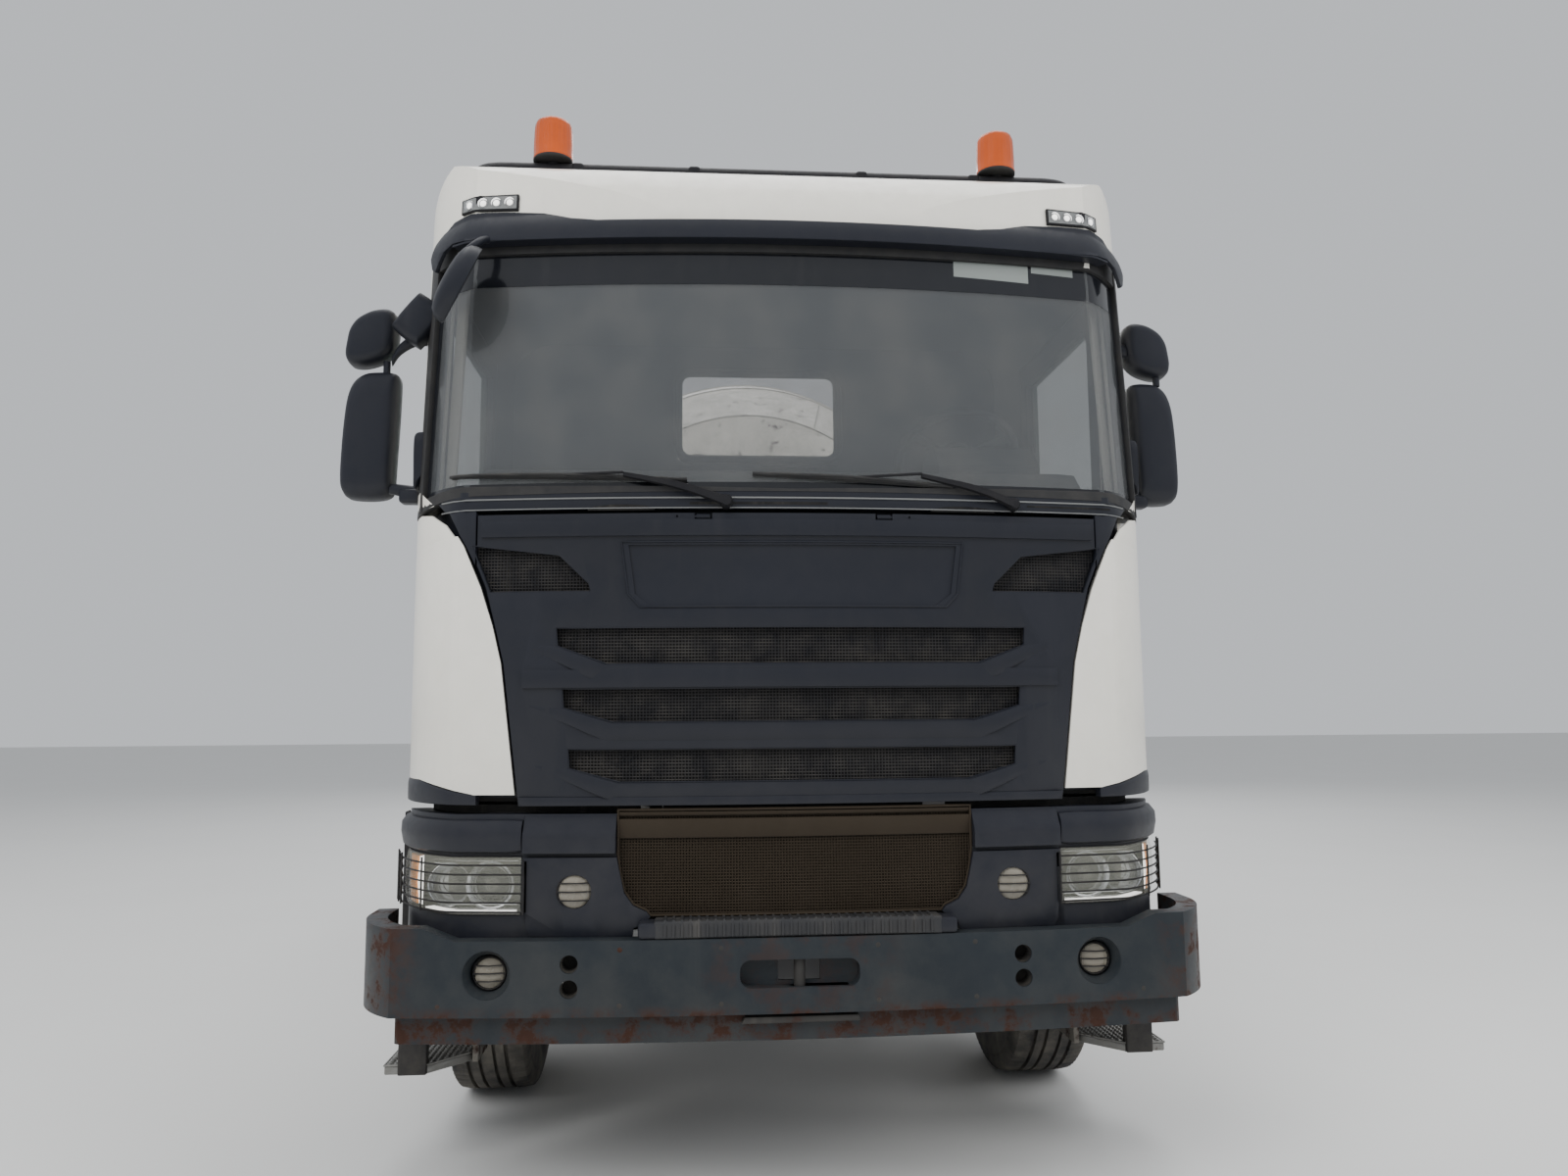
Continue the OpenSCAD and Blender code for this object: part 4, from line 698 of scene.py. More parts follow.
def tyre_outline(width, bead_r, tyre_r, cut, block):
    """Outline of a road tyre as (radius, x); cut lowers the tread's shoulder, block its middle ribs."""
    groove = 0.014
    crown = [(0.001 + block, 0.0), (block, 0.016), (block, 0.02), (groove, 0.022), (groove, 0.031),
             (block, 0.033), (block, 0.062), (groove, 0.064), (groove, 0.074), (cut, 0.077),
             (0.002 + cut, 0.105)]
    wall = [(0.006 + cut, 0.86), (0.016 + cut * 0.8, 0.915), (0.034 + cut * 0.5, 0.945), (0.055, 0.955),
            (0.062, 0.985), (0.095, 0.995), (0.13, 0.99)]
    bead = [(0.09, 0.955), (0.084, 0.962), (0.08, 0.945), (0.05, 0.885), (0.02, 0.8), (0.002, 0.74),
            (0.0, 0.7)]
    half = [(tyre_r - drop, x) for drop, x in crown] + [(tyre_r - drop, x * width / 2) for drop, x in wall]
    half += [(bead_r + rise, x * width / 2) for rise, x in bead]
    return [(r, -x) for r, x in reversed(half)] + half[1:]


def tyre_mesh(at, width, bead_r, tyre_r, drive):
    """A tyre turned about X, with blocks at its shoulders; a drive tyre's are deeper."""
    pitches, steps = (66, 4) if drive else (90, 3)
    rings = []
    for k, (cos, sin) in enumerate(circle(pitches * steps)):
        cut = (0.013 if drive else 0.004) if k % steps == 0 else 0.0
        block = 0.011 if drive and (k + 2) % steps == 0 else 0.0
        outline = tyre_outline(width, bead_r, tyre_r, cut, block)
        rings.append([at + Vector((x, r * sin, r * cos)) for r, x in outline])
    return skin(rings, closed=True)


def make_wheels():
    """Tyres with tread, single in front and in pairs behind."""
    bead_below_flange = 0.0132
    for name in [n for n in nodes if n.startswith("tyre")]:
        low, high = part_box(name)
        rim_low, rim_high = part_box(name.replace("tyre", "rim"))
        twin = name.startswith("tyres")
        width = 0.3 if twin else high.x - low.x
        gap = (high.x - low.x - width) / 2
        places = [(low + high) / 2 + Vector((x, 0, 0)) for x in ((-gap, gap) if twin else (0,))]
        bead_r = (rim_high.z - rim_low.z) / 2 - bead_below_flange
        tyres = [tyre_mesh(at, width, bead_r, (high.z - low.z) / 2, twin) for at in places]
        group(name + "_tread", body_of[name], "rubber", slot_of[name], *tyres, stands_for=name, angle=28)


# Half width, top, knee and foot of each of the hatch's three openings
OPENINGS = ((0.701, 1.693, 1.638, 1.583), (0.681, 1.515, 1.458, 1.414), (0.662, 1.341, 1.284, 1.243))
VENT = ((0.6, 1.798), (0.897, 1.798), (0.955, 1.94), (0.693, 1.908), (0.605, 1.823))
PITCH, WIRE, SCREEN_OUT = 0.0095, 0.0017, -0.024


def make_hatch():
    """Woven screens of the hatch's openings, with lips, rims and a dark sheet of painted shade behind them,
    and its raised edges.
    """
    screens, lips, rims = [], [], []
    for half, top, knee, low in OPENINGS:
        shape = mirror_x([(half - 0.15, low - 0.008), (half, knee - 0.008), (half + 0.008, top + 0.008)])
        screens.append(mesh_panel(shape, PITCH, WIRE, SCREEN_OUT))
        base = low - 0.052
        wing = mirror_x([(half - 0.13, base), (half + 0.095, knee + 0.002), (half + 0.095, knee + 0.012),
                         (half + 0.004, knee + 0.002), (half - 0.148, low)])

        def stand(s, z):
            return max(0.0, 0.012 - 0.1 * max(0.0, abs(s) - half + 0.1)) if z > base + 0.01 else 0.0005

        lips.append(plate(wing, -0.012, stand, bevel=0.003))
        rim = mirror_x([(half - 0.152, low + 0.001), (half - 0.005, knee), (half - 0.001, top - 0.001)])
        rims.append(skin_rod(rim, -0.003, 0.003, 0.05))
    for side in (1, -1):
        vent = [(side * x, z) for x, z in VENT]
        screens.append(mesh_panel(vent, PITCH, WIRE, SCREEN_OUT))
        rims.append(skin_rod(vent, -0.003, 0.003))
    # a near-black sheet behind the screens: painted shade of the space behind the openings
    mesh_shade_sheet = plate(mirror_x([(0.8, 1.2), (0.86, 1.72), (0.9, 1.96)]), -0.042, -0.036)
    edge = skin_rod(mirror_x([(-0.455, 1.752), (-0.49, 1.79), (-0.51, 1.944)]), 0.0012, 0.0035)
    sill = plate(mirror_x([(0.79, 1.1785), (0.803, 1.2), (0.803, 1.203), (0.7, 1.203)]), -0.004, 0.005,
                 bevel=0.002)
    group("hatch_screens", "hatch", "mesh", "mesh_plastic", *screens, stands_for="hatch_mesh")
    group("hatch_shade_sheet", "hatch", "dark", "mesh_plastic", mesh_shade_sheet)
    group("hatch_lips", "hatch", "slate", "front_plastic", *lips, *rims)
    group("hatch_edges", "hatch", "slate", "front_plastic", edge, sill)


def out_of(point):
    """How far a point stands outside the plan of the cab's front."""
    x, d = abs(point.x), point.y - FRONT_Y - CAB.front
    bow = math.hypot(x, d - CAB.radius) - CAB.radius
    centre = CAB.half - CAB.corner
    if x > centre and d < CAB.corner:
        return max(bow, math.hypot(x - centre, d - CAB.corner) - CAB.corner)
    return max(bow, x - CAB.half, -d)


def make_lower_panels():
    """Panels under the cab, lamp hoods, and dark sheets of painted shade behind the gap under the cab, open
    for the tilt arms.
    """
    def gone(p):
        x, out = abs(p.x), out_of(p)
        beside_lamp = out > 0.0125 and 0.87 < p.z < 1.04 and x > 0.765
        return beside_lamp or (p.z > 1.04 and ((x > 0.786 and out > 0.01) or (x < 0.785 and out > -0.004)))

    softened("front_carrier", 0.005, gone=gone)
    ledge = plate(rect(0.518, 0.783, 1.046, 1.152), -0.012,
                  lambda s, z: 0.02 - 0.028 * max(0.0, z - 1.098) / 0.054, bevel=0.005, row=0.0135)
    pair("pod_ledges", "chassis", "slate", "front_plastic", ledge)
    # near-black sheets behind the gap under the cab: painted shade where the floor would show through
    side = [(0.458, 1.12), (0.5, 1.12), (0.5, 1.0), (1.17, 1.0), (1.17, 1.178), (0.458, 1.178)]
    sheets = [plate(points, -0.075, -0.07) for points in (rect(0.0, 0.388, 1.12, 1.178), side)]
    sheets += [slab(s0, s1, -0.3, -0.07, 1.173, 1.178)
               for s0, s1 in ((0.0, CAB.by_x(0.385)), (CAB.by_x(0.48), CAB.by_d(0.4)))]
    pair("front_shadow", "chassis", "dark", "front_plastic", *sheets)
    # a near-black strip on the cab behind the same gap, also painted shade, which tilts with the cab
    gap_shade_sheet = plate(rect(-1.16, 1.16, 1.186, 1.24), -0.085, -0.08)
    group("cab_shade_sheet", "cab", "dark", "front_plastic", gap_shade_sheet)
    start = CAB.by_x(0.787)
    shelf = [(-0.07, 1.152), (-0.03, 1.149), (0.004, 1.138), (0.019, 1.118), (0.021, 1.088), (0.014, 1.052),
             (0.002, 1.044), (-0.06, 1.044)]

    def narrowed(s):
        ease = min(1.0, max(0.0, (s - start) / 0.02))
        return [(out * (0.82 + 0.18 * ease), 1.1 + (z - 1.1) * (0.94 + 0.06 * ease)) for out, z in shelf]

    pair("lamp_hoods", "chassis", "slate", "front_plastic", sweep(narrowed, start, CAB.by_d(0.42)))


def make_headlamps():
    """Headlamps: a dark well, bowls and bulbs, a light strip, an amber end and the lens."""
    s0, s1, s2 = (CAB.by_x(x) for x in (0.79, 1.1, 1.128))
    s3 = CAB.by_d(0.4)
    well = [slab(s0, s3, -0.075, -0.07, 0.873, 1.036),
            slab(s1 - 0.012, s1 - 0.008, -0.07, -0.004, 0.873, 1.034)]
    well += [slab(s0, s3, -0.07, -0.004, z, z + 0.004) for z in (0.872, 1.033)]
    bright, bulbs = [], []
    aim = (0.1, -1, 0)
    for x, r in ((0.885, 0.062), (1.02, 0.056)):
        at = on_front(x, 0.953, -0.026)
        bowl = [(r * 1.12, 0.006), (r, 0.0), (r * 0.9, -0.022), (r * 0.6, -0.038), (r * 0.25, -0.043),
                (0, -0.043)]
        bright.append(turned(bowl, at, aim, 40))
        bulbs.append(turned([(0.017, -0.036), (0.021, -0.012), (0.016, 0.0), (0, 0.004)], at, aim, 24))
        for k in range(3):
            ring_r, deep = r * (0.5 + 0.17 * k), -0.034 + 0.012 * k
            ring = [(ring_r, deep), (ring_r + 0.02 * r, deep + 0.004), (ring_r + 0.04 * r, deep)]
            bright.append(turned(ring, at, aim, 40))
    for z in (0.886, 0.898, 1.008, 1.02):
        bright.append(sweep([(-0.06, z), (-0.02, z + 0.001), (-0.02, z + 0.003), (-0.06, z + 0.003)], s0, s1))

    def bulge(edge, crown, start, end):
        section = [(-0.03, 0.882), (edge, 0.884), (crown, 0.95), (edge, 1.022), (-0.03, 1.024)]
        return sweep(section, start, end)

    lit = [bulge(-0.014, -0.008, s1 + 0.004, s2),
           sweep([(-0.035, 0.877), (-0.01, 0.879), (-0.01, 0.882), (-0.035, 0.882)], s0 + 0.02, s1)]
    lens = sweep([(-0.004, 0.874), (-0.001, 0.88), (0.004, 0.905), (0.0055, 0.95), (0.004, 1.0),
                  (-0.001, 1.028), (-0.004, 1.034), (-0.006, 1.034), (-0.006, 0.874)], s0, s3)
    pair("lamp_wells", "chassis", "black", "front_plastic", *well)
    pair("lamp_bowls", "chassis", "chrome", "lamp_glass", *bright)
    pair("lamp_bulbs", "chassis", "lens", "lamp_glass", *bulbs)
    pair("lamp_strips", "chassis", "lit", "lamp_glass", *lit)
    pair("lamp_amber", "chassis", "amber", "lamp_glass", bulge(-0.01, -0.006, s2 + 0.006, s3 - 0.03))
    pair("lamp_lenses", "chassis", "lens", "lamp_glass", lens, stands_for="headlamps")


def make_lamp_guards():
    """Guards of the headlamps: six bent wires, tied by uprights and by crossed loops at the ends."""
    rows = [0.884 + 0.026 * k for k in range(6)]
    start, end = CAB.by_x(0.774), CAB.by_d(0.425)
    wires = [rod([on_skin(s, z, 0.0195) for s, in between((start,), (end,), 26)], 0.0028) for z in rows]
    for s in (CAB.by_x(0.776), CAB.by_x(1.07), end - 0.09, end - 0.045, end - 0.002):
        wires.append(rod([on_skin(s, 0.878, 0.0245), on_skin(s, 1.03, 0.0245)], 0.0028))
    for low, high in (*zip(rows, rows[1:]), *zip(rows[1:], rows)):
        points = ((end - 0.09, low), (end - 0.045, high), (end - 0.004, low))
        wires.append(rod([on_skin(s, z, 0.0215) for s, z in points], 0.0026, 6))
    pair("lamp_guards", "chassis", "black", "front_plastic", *wires)


def round_lamp(x, z, plan, r, depth, proud):
    """A round lamp: dished reflector, bulb, ribbed lens, ring and bars."""
    at = on_front(x, z, proud, plan)

    def facing(profile, segments=40):
        return turned(profile, at, (0, -1, 0), segments)

    def bent(*points):
        return rod([at + Vector(p) for p in points], 0.0022, 6)

    bowl = facing([(r * 0.96, -0.004), (r * 0.85, -depth * 0.45), (r * 0.55, -depth * 0.8),
                   (r * 0.2, -depth), (0, -depth)])
    bulb = facing([(0.006, -depth), (0.009, -depth * 0.6), (0.006, -depth * 0.35), (0, -depth * 0.3)], 12)
    lens = [facing([(r * 0.97, 0), (r * 0.9, 0.003), (r * 0.5, 0.007), (0, 0.008)])]
    for k in range(-4, 5):
        w = k * r * 0.2
        h = math.sqrt(max(r * r * 0.86 - w * w, 0))
        lens.append(bent((w, -0.001, -h), (w, -0.004, 0), (w, -0.001, h)))
    ring = facing([(r * 0.97, -0.012), (r * 0.97, 0.002), (r * 1.03, 0.006), (r * 1.09, 0.003),
                   (r * 1.1, -0.012)])
    bars = []
    for w in (-r * 0.5, 0.0, r * 0.5):
        half = math.sqrt(r * r - w * w) * 1.04
        bars.append(bent((-half, -0.006, w), (0, -0.014, w), (half, -0.006, w)))
    return [bowl], [bulb], lens, [ring], bars


def make_round_lamps():
    """Round lamps in the pods and the bumper."""
    high, low = (0.634, 0.939), (0.868, 0.724)
    lamps = zip(round_lamp(*high, CAB, 0.048, 0.04, 0.004), round_lamp(*low, BUMPER, 0.0425, 0.024, -0.035))
    looks = (("bowls", "chrome"), ("bulbs", "lens"), ("lenses", "dull_lens"), ("rings", "black"),
             ("bars", "black"))
    for (name, look), (upper, lower) in zip(looks, lamps):
        pair("round_lamp_" + name, "chassis", look, "lamp_glass", *upper, *lower)
    dish = turned([(0.0475, -0.056), (0.049, -0.045), (0.054, -0.02), (0.0655, -0.003), (0.0655, -0.06)],
                  on_front(*low, plan=BUMPER), (0, -1, 0), 48)
    pair("fog_dishes", "chassis", "bumper", "bumper_paint", dish)


def make_low_grille():
    """The lower grille: a dusty woven screen behind two bands, with a rim."""
    outline = mirror_x([(0.419, 0.87), (0.43, 0.884), (0.469, 0.902), (0.494, 0.937), (0.506, 0.985),
                        (0.514, 1.04), (0.514, 1.166)])
    group("low_screen", "chassis", "dusty", "grille_plastic", mesh_panel(outline, 0.0085, 0.0018, -0.016),
          stands_for="lower_grille")
    parts = [plate(mirror_x([(0.42, 0.865), (0.516, 0.95), (0.516, 1.166)]), -0.03, -0.022)]
    for low, tall in ((1.085, 0.055), (1.148, 0.012)):
        parts.append(plate(rect(-0.512, 0.512, low, low + tall), -0.02,
                           lambda s, z: -0.004 if z > low + tall / 2 else -0.008, bevel=0.003))
    group("low_grille_backing", "chassis", "dusty", "grille_plastic", *parts,
          skin_rod(outline, -0.006, 0.004))


def make_tread_plate():
    """The middle step's tread plate, with ribs over its front and top."""
    over = ((0.0052, 0.822), (0.0052, 0.852), (0.012, 0.8645), (0.07, 0.8655))
    ribs = [rod([spot(0.0235 * k, d, z) for d, z in over], 0.0048, 6) for k in range(-16, 17)]
    body = cushion((-0.408, 0.006, 0.8157), (0.408, 0.084, 0.8655), 0.008)
    end = cushion((0.395, 0.0055, 0.8157), (0.452, 0.08, 0.862), 0.012)
    group("tread_plate", "chassis", "worn", "step_metal", body, *ribs)
    pair("tread_ends", "chassis", "slate", "front_plastic", end)


def make_screen():
    """Seals, printed band, blank labels and pillar trims of the windscreen."""
    # Half widths of the pane at its foot and at its top
    x0, x1 = 1.15, 1.127
    s0, s1 = CAB.by_x(x0), CAB.by_x(x1)
    frit = mirror_x([(x0 - 0.012, 2.768), (x1 - 0.004, 2.878)])
    foot = rect(0.008 - x0, x0 - 0.008, 2.102, 2.128)
    side = [(x0 - 0.022, 2.105), (x0 - 0.004, 2.105), (x1 - 0.004, 2.78), (x1 - 0.02, 2.78)]
    bands = [screen_plate(points, -0.0115, -0.0108) for points in (frit, foot, side)]
    group("screen_band", "cab", "frit", "cab_glass", *bands[:2], mirrored(bands[2]))
    labels = [screen_plate(points, -0.0106, -0.0102) for points in (
        [(0.527, 2.82), (0.778, 2.812), (0.78, 2.89), (0.529, 2.893)],
        [(0.79, 2.85), (0.935, 2.846), (0.937, 2.9), (0.792, 2.904)])]
    group("screen_labels", "cab", "label", "cab_glass", *labels)

    def upright(inner, outer, low, high, back, front, taper=1.0, bevel=0.001):
        """A strip beside the windscreen's edge on both sides, placed by distance along the skin."""
        outline = [(s0 + inner, up_z(x0, low)), (s0 + outer, up_z(x0, low)), (s1 + outer, up_z(x1, high)),
                   (s1 + inner * taper, up_z(x1, high))]
        return mirrored(plate(outline, back, front, lean=True, flat=False, bevel=bevel))

    end = s0 + 0.085
    lower = [(-end, 2.068), (end, 2.068), (end, 2.082), (s0, 2.104), (0.0, 2.104), (-s0, 2.104),
             (-end, 2.082)]
    lower = plate([(s, up_z(x0 if s else 0, z)) for s, z in lower], -0.02, 0.0015, lean=True, flat=False)
    upper = screen_plate(rect(-x1, x1, 2.872, 2.945), -0.012, 0.0015)
    group("screen_seal", "cab", "seal", "cab_glass", upright(-0.01, 0.085, 2.072, 2.925, -0.012, 0.0012),
          upright(-0.012, 0.012, 2.072, 2.925, -0.012, 0.005), lower, upper)
    trims = [upright(inner, outer, 2.11, 2.87, back - 0.012, back, 0.9, 0.004)
             for inner, outer, back in ((-0.105, -0.018, -0.062), (-0.018, -0.004, -0.045))]
    group("pillar_trims", "cab", "trim", "interior_plastic", *trims)


def parted(mesh, picked):
    """Two meshes: the faces for which picked(middle, normal) is true, and the others."""
    made = []
    for wanted in (True, False):
        build = read(mesh)
        gone = [f for f in build.faces if picked(f.calc_center_median(), f.normal) != wanted]
        bmesh.ops.delete(build, geom=gone, context="FACES")
        made.append(written(build))
        finish_mesh(made[-1], 30)
    return made


def line_cab():
    """The inside of the cab and doors, dark, and the paint outside; the panes in front and behind."""
    centre = spot(0, 1.06, 2.2)

    def inside(middle, normal):
        behind_front = middle.z > 2.1 or middle.y > FRONT_Y + 0.2
        return normal.dot(centre - middle) > 0 and middle.z > 1.2 and behind_front

    for node, body in (("cab_shell", "cab"), ("door_left", "door_left"), ("door_right", "door_right")):
        inner, outer = parted(nodes[node].data, inside)
        piece(node + "_lining", inner, body, "lining", "interior_plastic")
        if node == "cab_shell":
            dark, outer = parted(outer, lambda middle, normal: middle.y < FRONT_Y + 0.5 and middle.z < 2.1)
            piece("front_frame", dark, body, "slate", "front_plastic")
        piece(node + "_paint", outer, body, "cream", "cab_paint", node)
    rear, screen = parted(nodes["cab_glass"].data, lambda middle, normal: middle.y > FRONT_Y + 1.0)
    piece("windscreen", screen, "cab", "glass", "cab_glass", "cab_glass")
    piece("rear_pane", rear, "cab", "rear_glass", "cab_glass")
    line = [spot(x, 1.992, z) for x, z in rounded(-0.38, 0.38, 2.64, 3.06, 0.06, 6)]
    group("rear_rubber", "cab", "seal", "cab_glass", rod(line, 0.021, closed=True))


VISOR_TOP = [(0.6, 2.967), (0.68, 2.978), (0.77, 3.006), (0.88, 3.013), (1.0, 3.016), (1.06, 3.01),
             (1.095, 2.988), (1.108, 2.945), (1.11, 2.895), (1.1, 2.852), (1.088, 2.838)]
VISOR_LOW = [(1.078, 2.86), (1.06, 2.893), (1.03, 2.909), (0.975, 2.905), (0.9, 2.898)]


def make_visor():
    """The sun visor: a shell that stands out along its foot, its stays, and four small lamps at each end."""
    def swell(s, z):
        height = max(0.0, min(1.0, (z - 2.896) / 0.12))
        return 0.042 - 0.034 * height ** 2.2

    outline = mirror_x(VISOR_TOP + VISOR_LOW)
    shell = screen_plate(outline, lambda s, z: swell(s, z) - 0.012, swell, bevel=0.003, row=0.012)
    lip = screen_plate(rect(-1.03, 1.03, 2.897, 2.904), 0.004, 0.04)
    stays = [screen_plate(rect(x, x + 0.03, 2.9, 2.94), 0.0, 0.03) for x in (0.35, 0.72)]
    group("visor_shell", "cab", "slate", "front_plastic", shell, lip, mirrored(*stays), stands_for="visor")
    rim = screen_plate([(0.85, 3.02), (1.034, 3.024), (1.034, 3.074), (0.85, 3.076)], -0.02, 0.0085,
                       bevel=0.002)
    face = screen_plate([(0.856, 3.026), (1.028, 3.029), (1.028, 3.069), (0.856, 3.07)], 0.0085, 0.0095)
    pair("lamp_box_rims", "cab", "black", "front_plastic", rim)
    pair("lamp_box_faces", "cab", "grey", "lamp_glass", face)
    cups, lights = [], []
    for k in range(4):
        x = 0.878 + 0.0425 * k
        at = on_screen(x, 3.048, 0.0095)
        aim = at - on_screen(x, 3.048, -0.1)
        cups.append(turned([(0.0175, 0.0), (0.0165, 0.0025), (0.015, 0.0), (0.009, -0.006)], at, aim, 24))
        lights.append(turned([(0.0115, -0.004), (0.01, 0.001), (0.006, 0.004), (0, 0.005)], at, aim, 20))
    pair("lamp_box_cups", "cab", "chrome", "lamp_glass", *cups)
    pair("lamp_box_lights", "cab", "lit", "lamp_glass", *lights)


def make_cowl():
    """The cowl under the windscreen, with its slots drawn as near-black plates of painted shade, and its
    beads.
    """
    strip = plate(mirror_x([(1.045, 2.044), (1.08, 2.08)]), -0.058, -0.002, bevel=0.004)
    ends = plate([(0.944, 1.88), (0.974, 1.94), (1.034, 2.045), (0.944, 2.045)], -0.033, -0.002, bevel=0.002)
    group("cowl_panel", "cab", "slate", "front_plastic", strip, mirrored(ends), stands_for="cowl")
    # near-black plates for the slots: painted shade inside the openings
    holes = [plate(rect(-0.31, 0.1, 2.056, 2.064), -0.01, -0.0012),
             plate(rect(0.72, 1.0, 2.06, 2.066), -0.01, -0.0012)]
    for x in (-0.512, 0.515):
        arch = [(x + 0.1 * cos, 2.04 + 0.017 * sin) for cos, sin in circle(24)[:13]]
        holes.append(plate(arch, -0.01, -0.0008))
    group("cowl_openings", "cab", "dark", "front_plastic", *holes)
    beads = [rod([on_front(x, z, -0.001) for x, in between((-1.06,), (1.06,), 50)], r, 6)
             for z, r in ((2.0765, 0.0028), (2.046, 0.002))]
    group("cowl_beads", "cab", "grey", "front_plastic", *beads)


def make_corners():
    """Dark trims under the corner panels and the panels' tops."""
    s0, s1, s2, s3 = CAB.by_x(0.926), CAB.by_x(0.943), CAB.by_x(1.12), CAB.by_d(0.585)
    foot = 1.1815
    skirt = [(-0.032, foot), (0.0, foot), (0.004, 1.184), (0.0048, 1.2), (0.0048, 1.232), (0.003, 1.245),
             (0.0, 1.249), (-0.032, 1.249)]

    def tapered(s):
        """Lower and flatter towards the hatch."""
        if s < s1:
            tall = 0.027 + 0.003 * (s - s0) / (s1 - s0)
        else:
            tall = 0.03 + 0.0375 * min(1.0, (s - s1) / (s2 - s1))
        stand = min(1.0, max(0.0, (s - s0) / 0.09))
        return [(out * stand if out > 0 else out, foot + (z - foot) * tall / 0.0675) for out, z in skirt]

    pair("corner_trims", "cab", "slate", "front_plastic", sweep(tapered, s0, s3))
    outer = max(out_of(v.co) for v in nodes["corner_panels"].data.vertices)
    inner_edge = ((0.975, 1.9), (1.0, 1.955), (1.045, 2.01), (1.1, 2.048), (1.15, 2.062))
    tip = [(CAB.by_x(x), z) for x, z in inner_edge] + [(CAB.by_d(0.5), 2.062), (s3, 2.05), (s3, 1.9)]
    top = plate(tip, -0.01, outer - 0.0005, flat=False, bevel=0.004)
    pair("corner_tops", "cab", "cream", "cab_paint", top)


def make_wipers():
    """Two wipers: a post, a tapering arm and a bridge of bows over each blade."""
    arms, blades = [], []
    for post, elbow, start, end in (((-0.203, 2.062), (-0.505, 2.146), (-1.03, 2.15), (-0.318, 2.128)),
                                    ((0.672, 2.064), (0.384, 2.147), (-0.124, 2.147), (0.485, 2.114))):
        arms.append(turned([(0.02, -0.03), (0.02, 0.016), (0.015, 0.024), (0, 0.026)], on_screen(*post),
                           (0, -1, 0.1), 20))
        rows = []
        for k, (x, z) in enumerate(between(post, elbow, 12)):
            z += (elbow[1] - post[1]) * 0.1 * math.sin(math.pi * k / 12)
            half = 0.017 - 0.009 * k / 12
            lift = 0.02 + 0.012 * math.sin(math.pi * min(1.0, k / 12 * 1.4))
            section = ((-half, -0.008), (-half * 0.7, 0.004), (half * 0.7, 0.004), (half, -0.008))
            rows.append([on_screen(x, z + up, lift + out) for up, out in section])
        arms.append(skin(rows))
        middle = ((start[0] + end[0]) / 2, (start[1] + end[1]) / 2 + 0.008, 0.014)
        tail = between((elbow[0], elbow[1] + 0.004, 0.026), middle, 6)
        arms.append(rod([on_screen(*p) for p in tail], 0.0042, 6))
        line = between(start, end, 24)
        for up, out, r in ((0.0, -0.0055, 0.0035), (0.004, 0.003, 0.0045)):
            blades.append(rod([on_screen(x, z + up, out) for x, z in line], r, 6))
        for a, b, up, out, rise, r in ((5, 19, 0.008, 0.004, 0.014, 0.004),
                                       (2, 9, 0.006, 0.003, 0.008, 0.0035),
                                       (15, 22, 0.006, 0.003, 0.008, 0.0035)):
            bow = [on_screen(x, z + up, out + rise * math.sin(math.pi * k / (b - a)))
                   for k, (x, z) in enumerate(line[a:b + 1])]
            blades.append(rod(bow, r, 6))
    group("wiper_arms", "cab", "black", "front_plastic", *arms)
    group("wiper_blades", "cab", "seal", "front_plastic", *blades)


MAIN_HEAD = [(1.0, 0.86), (0.985, 0.96), (0.9, 0.995), (0.65, 1.0), (0.4, 0.985), (0.2, 0.92), (0.09, 0.8),
             (0.035, 0.6), (0.005, 0.35), (0.0, 0.16), (0.03, 0.07), (0.13, 0.015), (0.35, 0.0), (0.62, 0.0),
             (0.84, 0.02), (0.93, 0.08), (0.955, 0.3), (0.985, 0.6)]
WIDE_HEAD = [(1.0, 0.62), (0.985, 0.85), (0.91, 0.97), (0.76, 1.0), (0.52, 0.96), (0.24, 0.82), (0.08, 0.62),
             (0.02, 0.38), (0.0, 0.18), (0.06, 0.05), (0.2, 0.0), (0.42, 0.01), (0.72, 0.1), (0.93, 0.28)]
POD = [(0.0, 0.35), (0.02, 0.8), (0.18, 0.97), (0.55, 1.0), (0.9, 0.97), (1.0, 0.8), (0.98, 0.3), (0.93, 0.0),
       (0.62, 0.1), (0.35, 0.24)]
SQUARE = [(0.0, 0.12), (0.0, 0.88), (0.12, 1.0), (0.88, 1.0), (1.0, 0.88), (1.0, 0.12), (0.88, 0.0),
          (0.12, 0.0)]


def outlined(points, at, width, height, flip=1):
    """A closed smooth outline across the truck, from points as shares of a width and a height."""
    spots = [Vector(p) for p in points]
    line = []
    for i in range(len(spots)):
        four = [spots[(i + k) % len(spots)] for k in (-1, 0, 1, 2)]
        line += [curve(*four, k / 4) for k in range(4)]
    return [at + Vector((flip * (p.x - 0.5) * width, 0, p.y * height)) for p in line]


def scaled_rings(line, steps, middle=None):
    """Copies of an outline at (distance back, size)."""
    middle = sum(line, Vector()) / len(line) if middle is None else middle
    return [[middle + (p - middle) * grow + Vector((0, d, 0)) for p in line] for d, grow in steps]


def mirror_head(points, x, z, width, height, side):
    """A bulged mirror head with a recess at its back, and the glass in it."""
    depth = 0.088
    line = outlined(points, spot(x, 0.47, z), width, height, -side)
    shell = ((0.0, 0.62), (0.04, 0.78), (0.13, 0.9), (0.3, 0.97), (0.6, 1.0), (0.97, 1.0), (1.0, 0.985),
             (1.0, 0.93), (0.93, 0.92))
    return (skin(scaled_rings(line, [(depth * t, grow) for t, grow in shell])),
            skin(scaled_rings(line, [(depth * t, 0.915) for t in (0.9, 0.94)])))


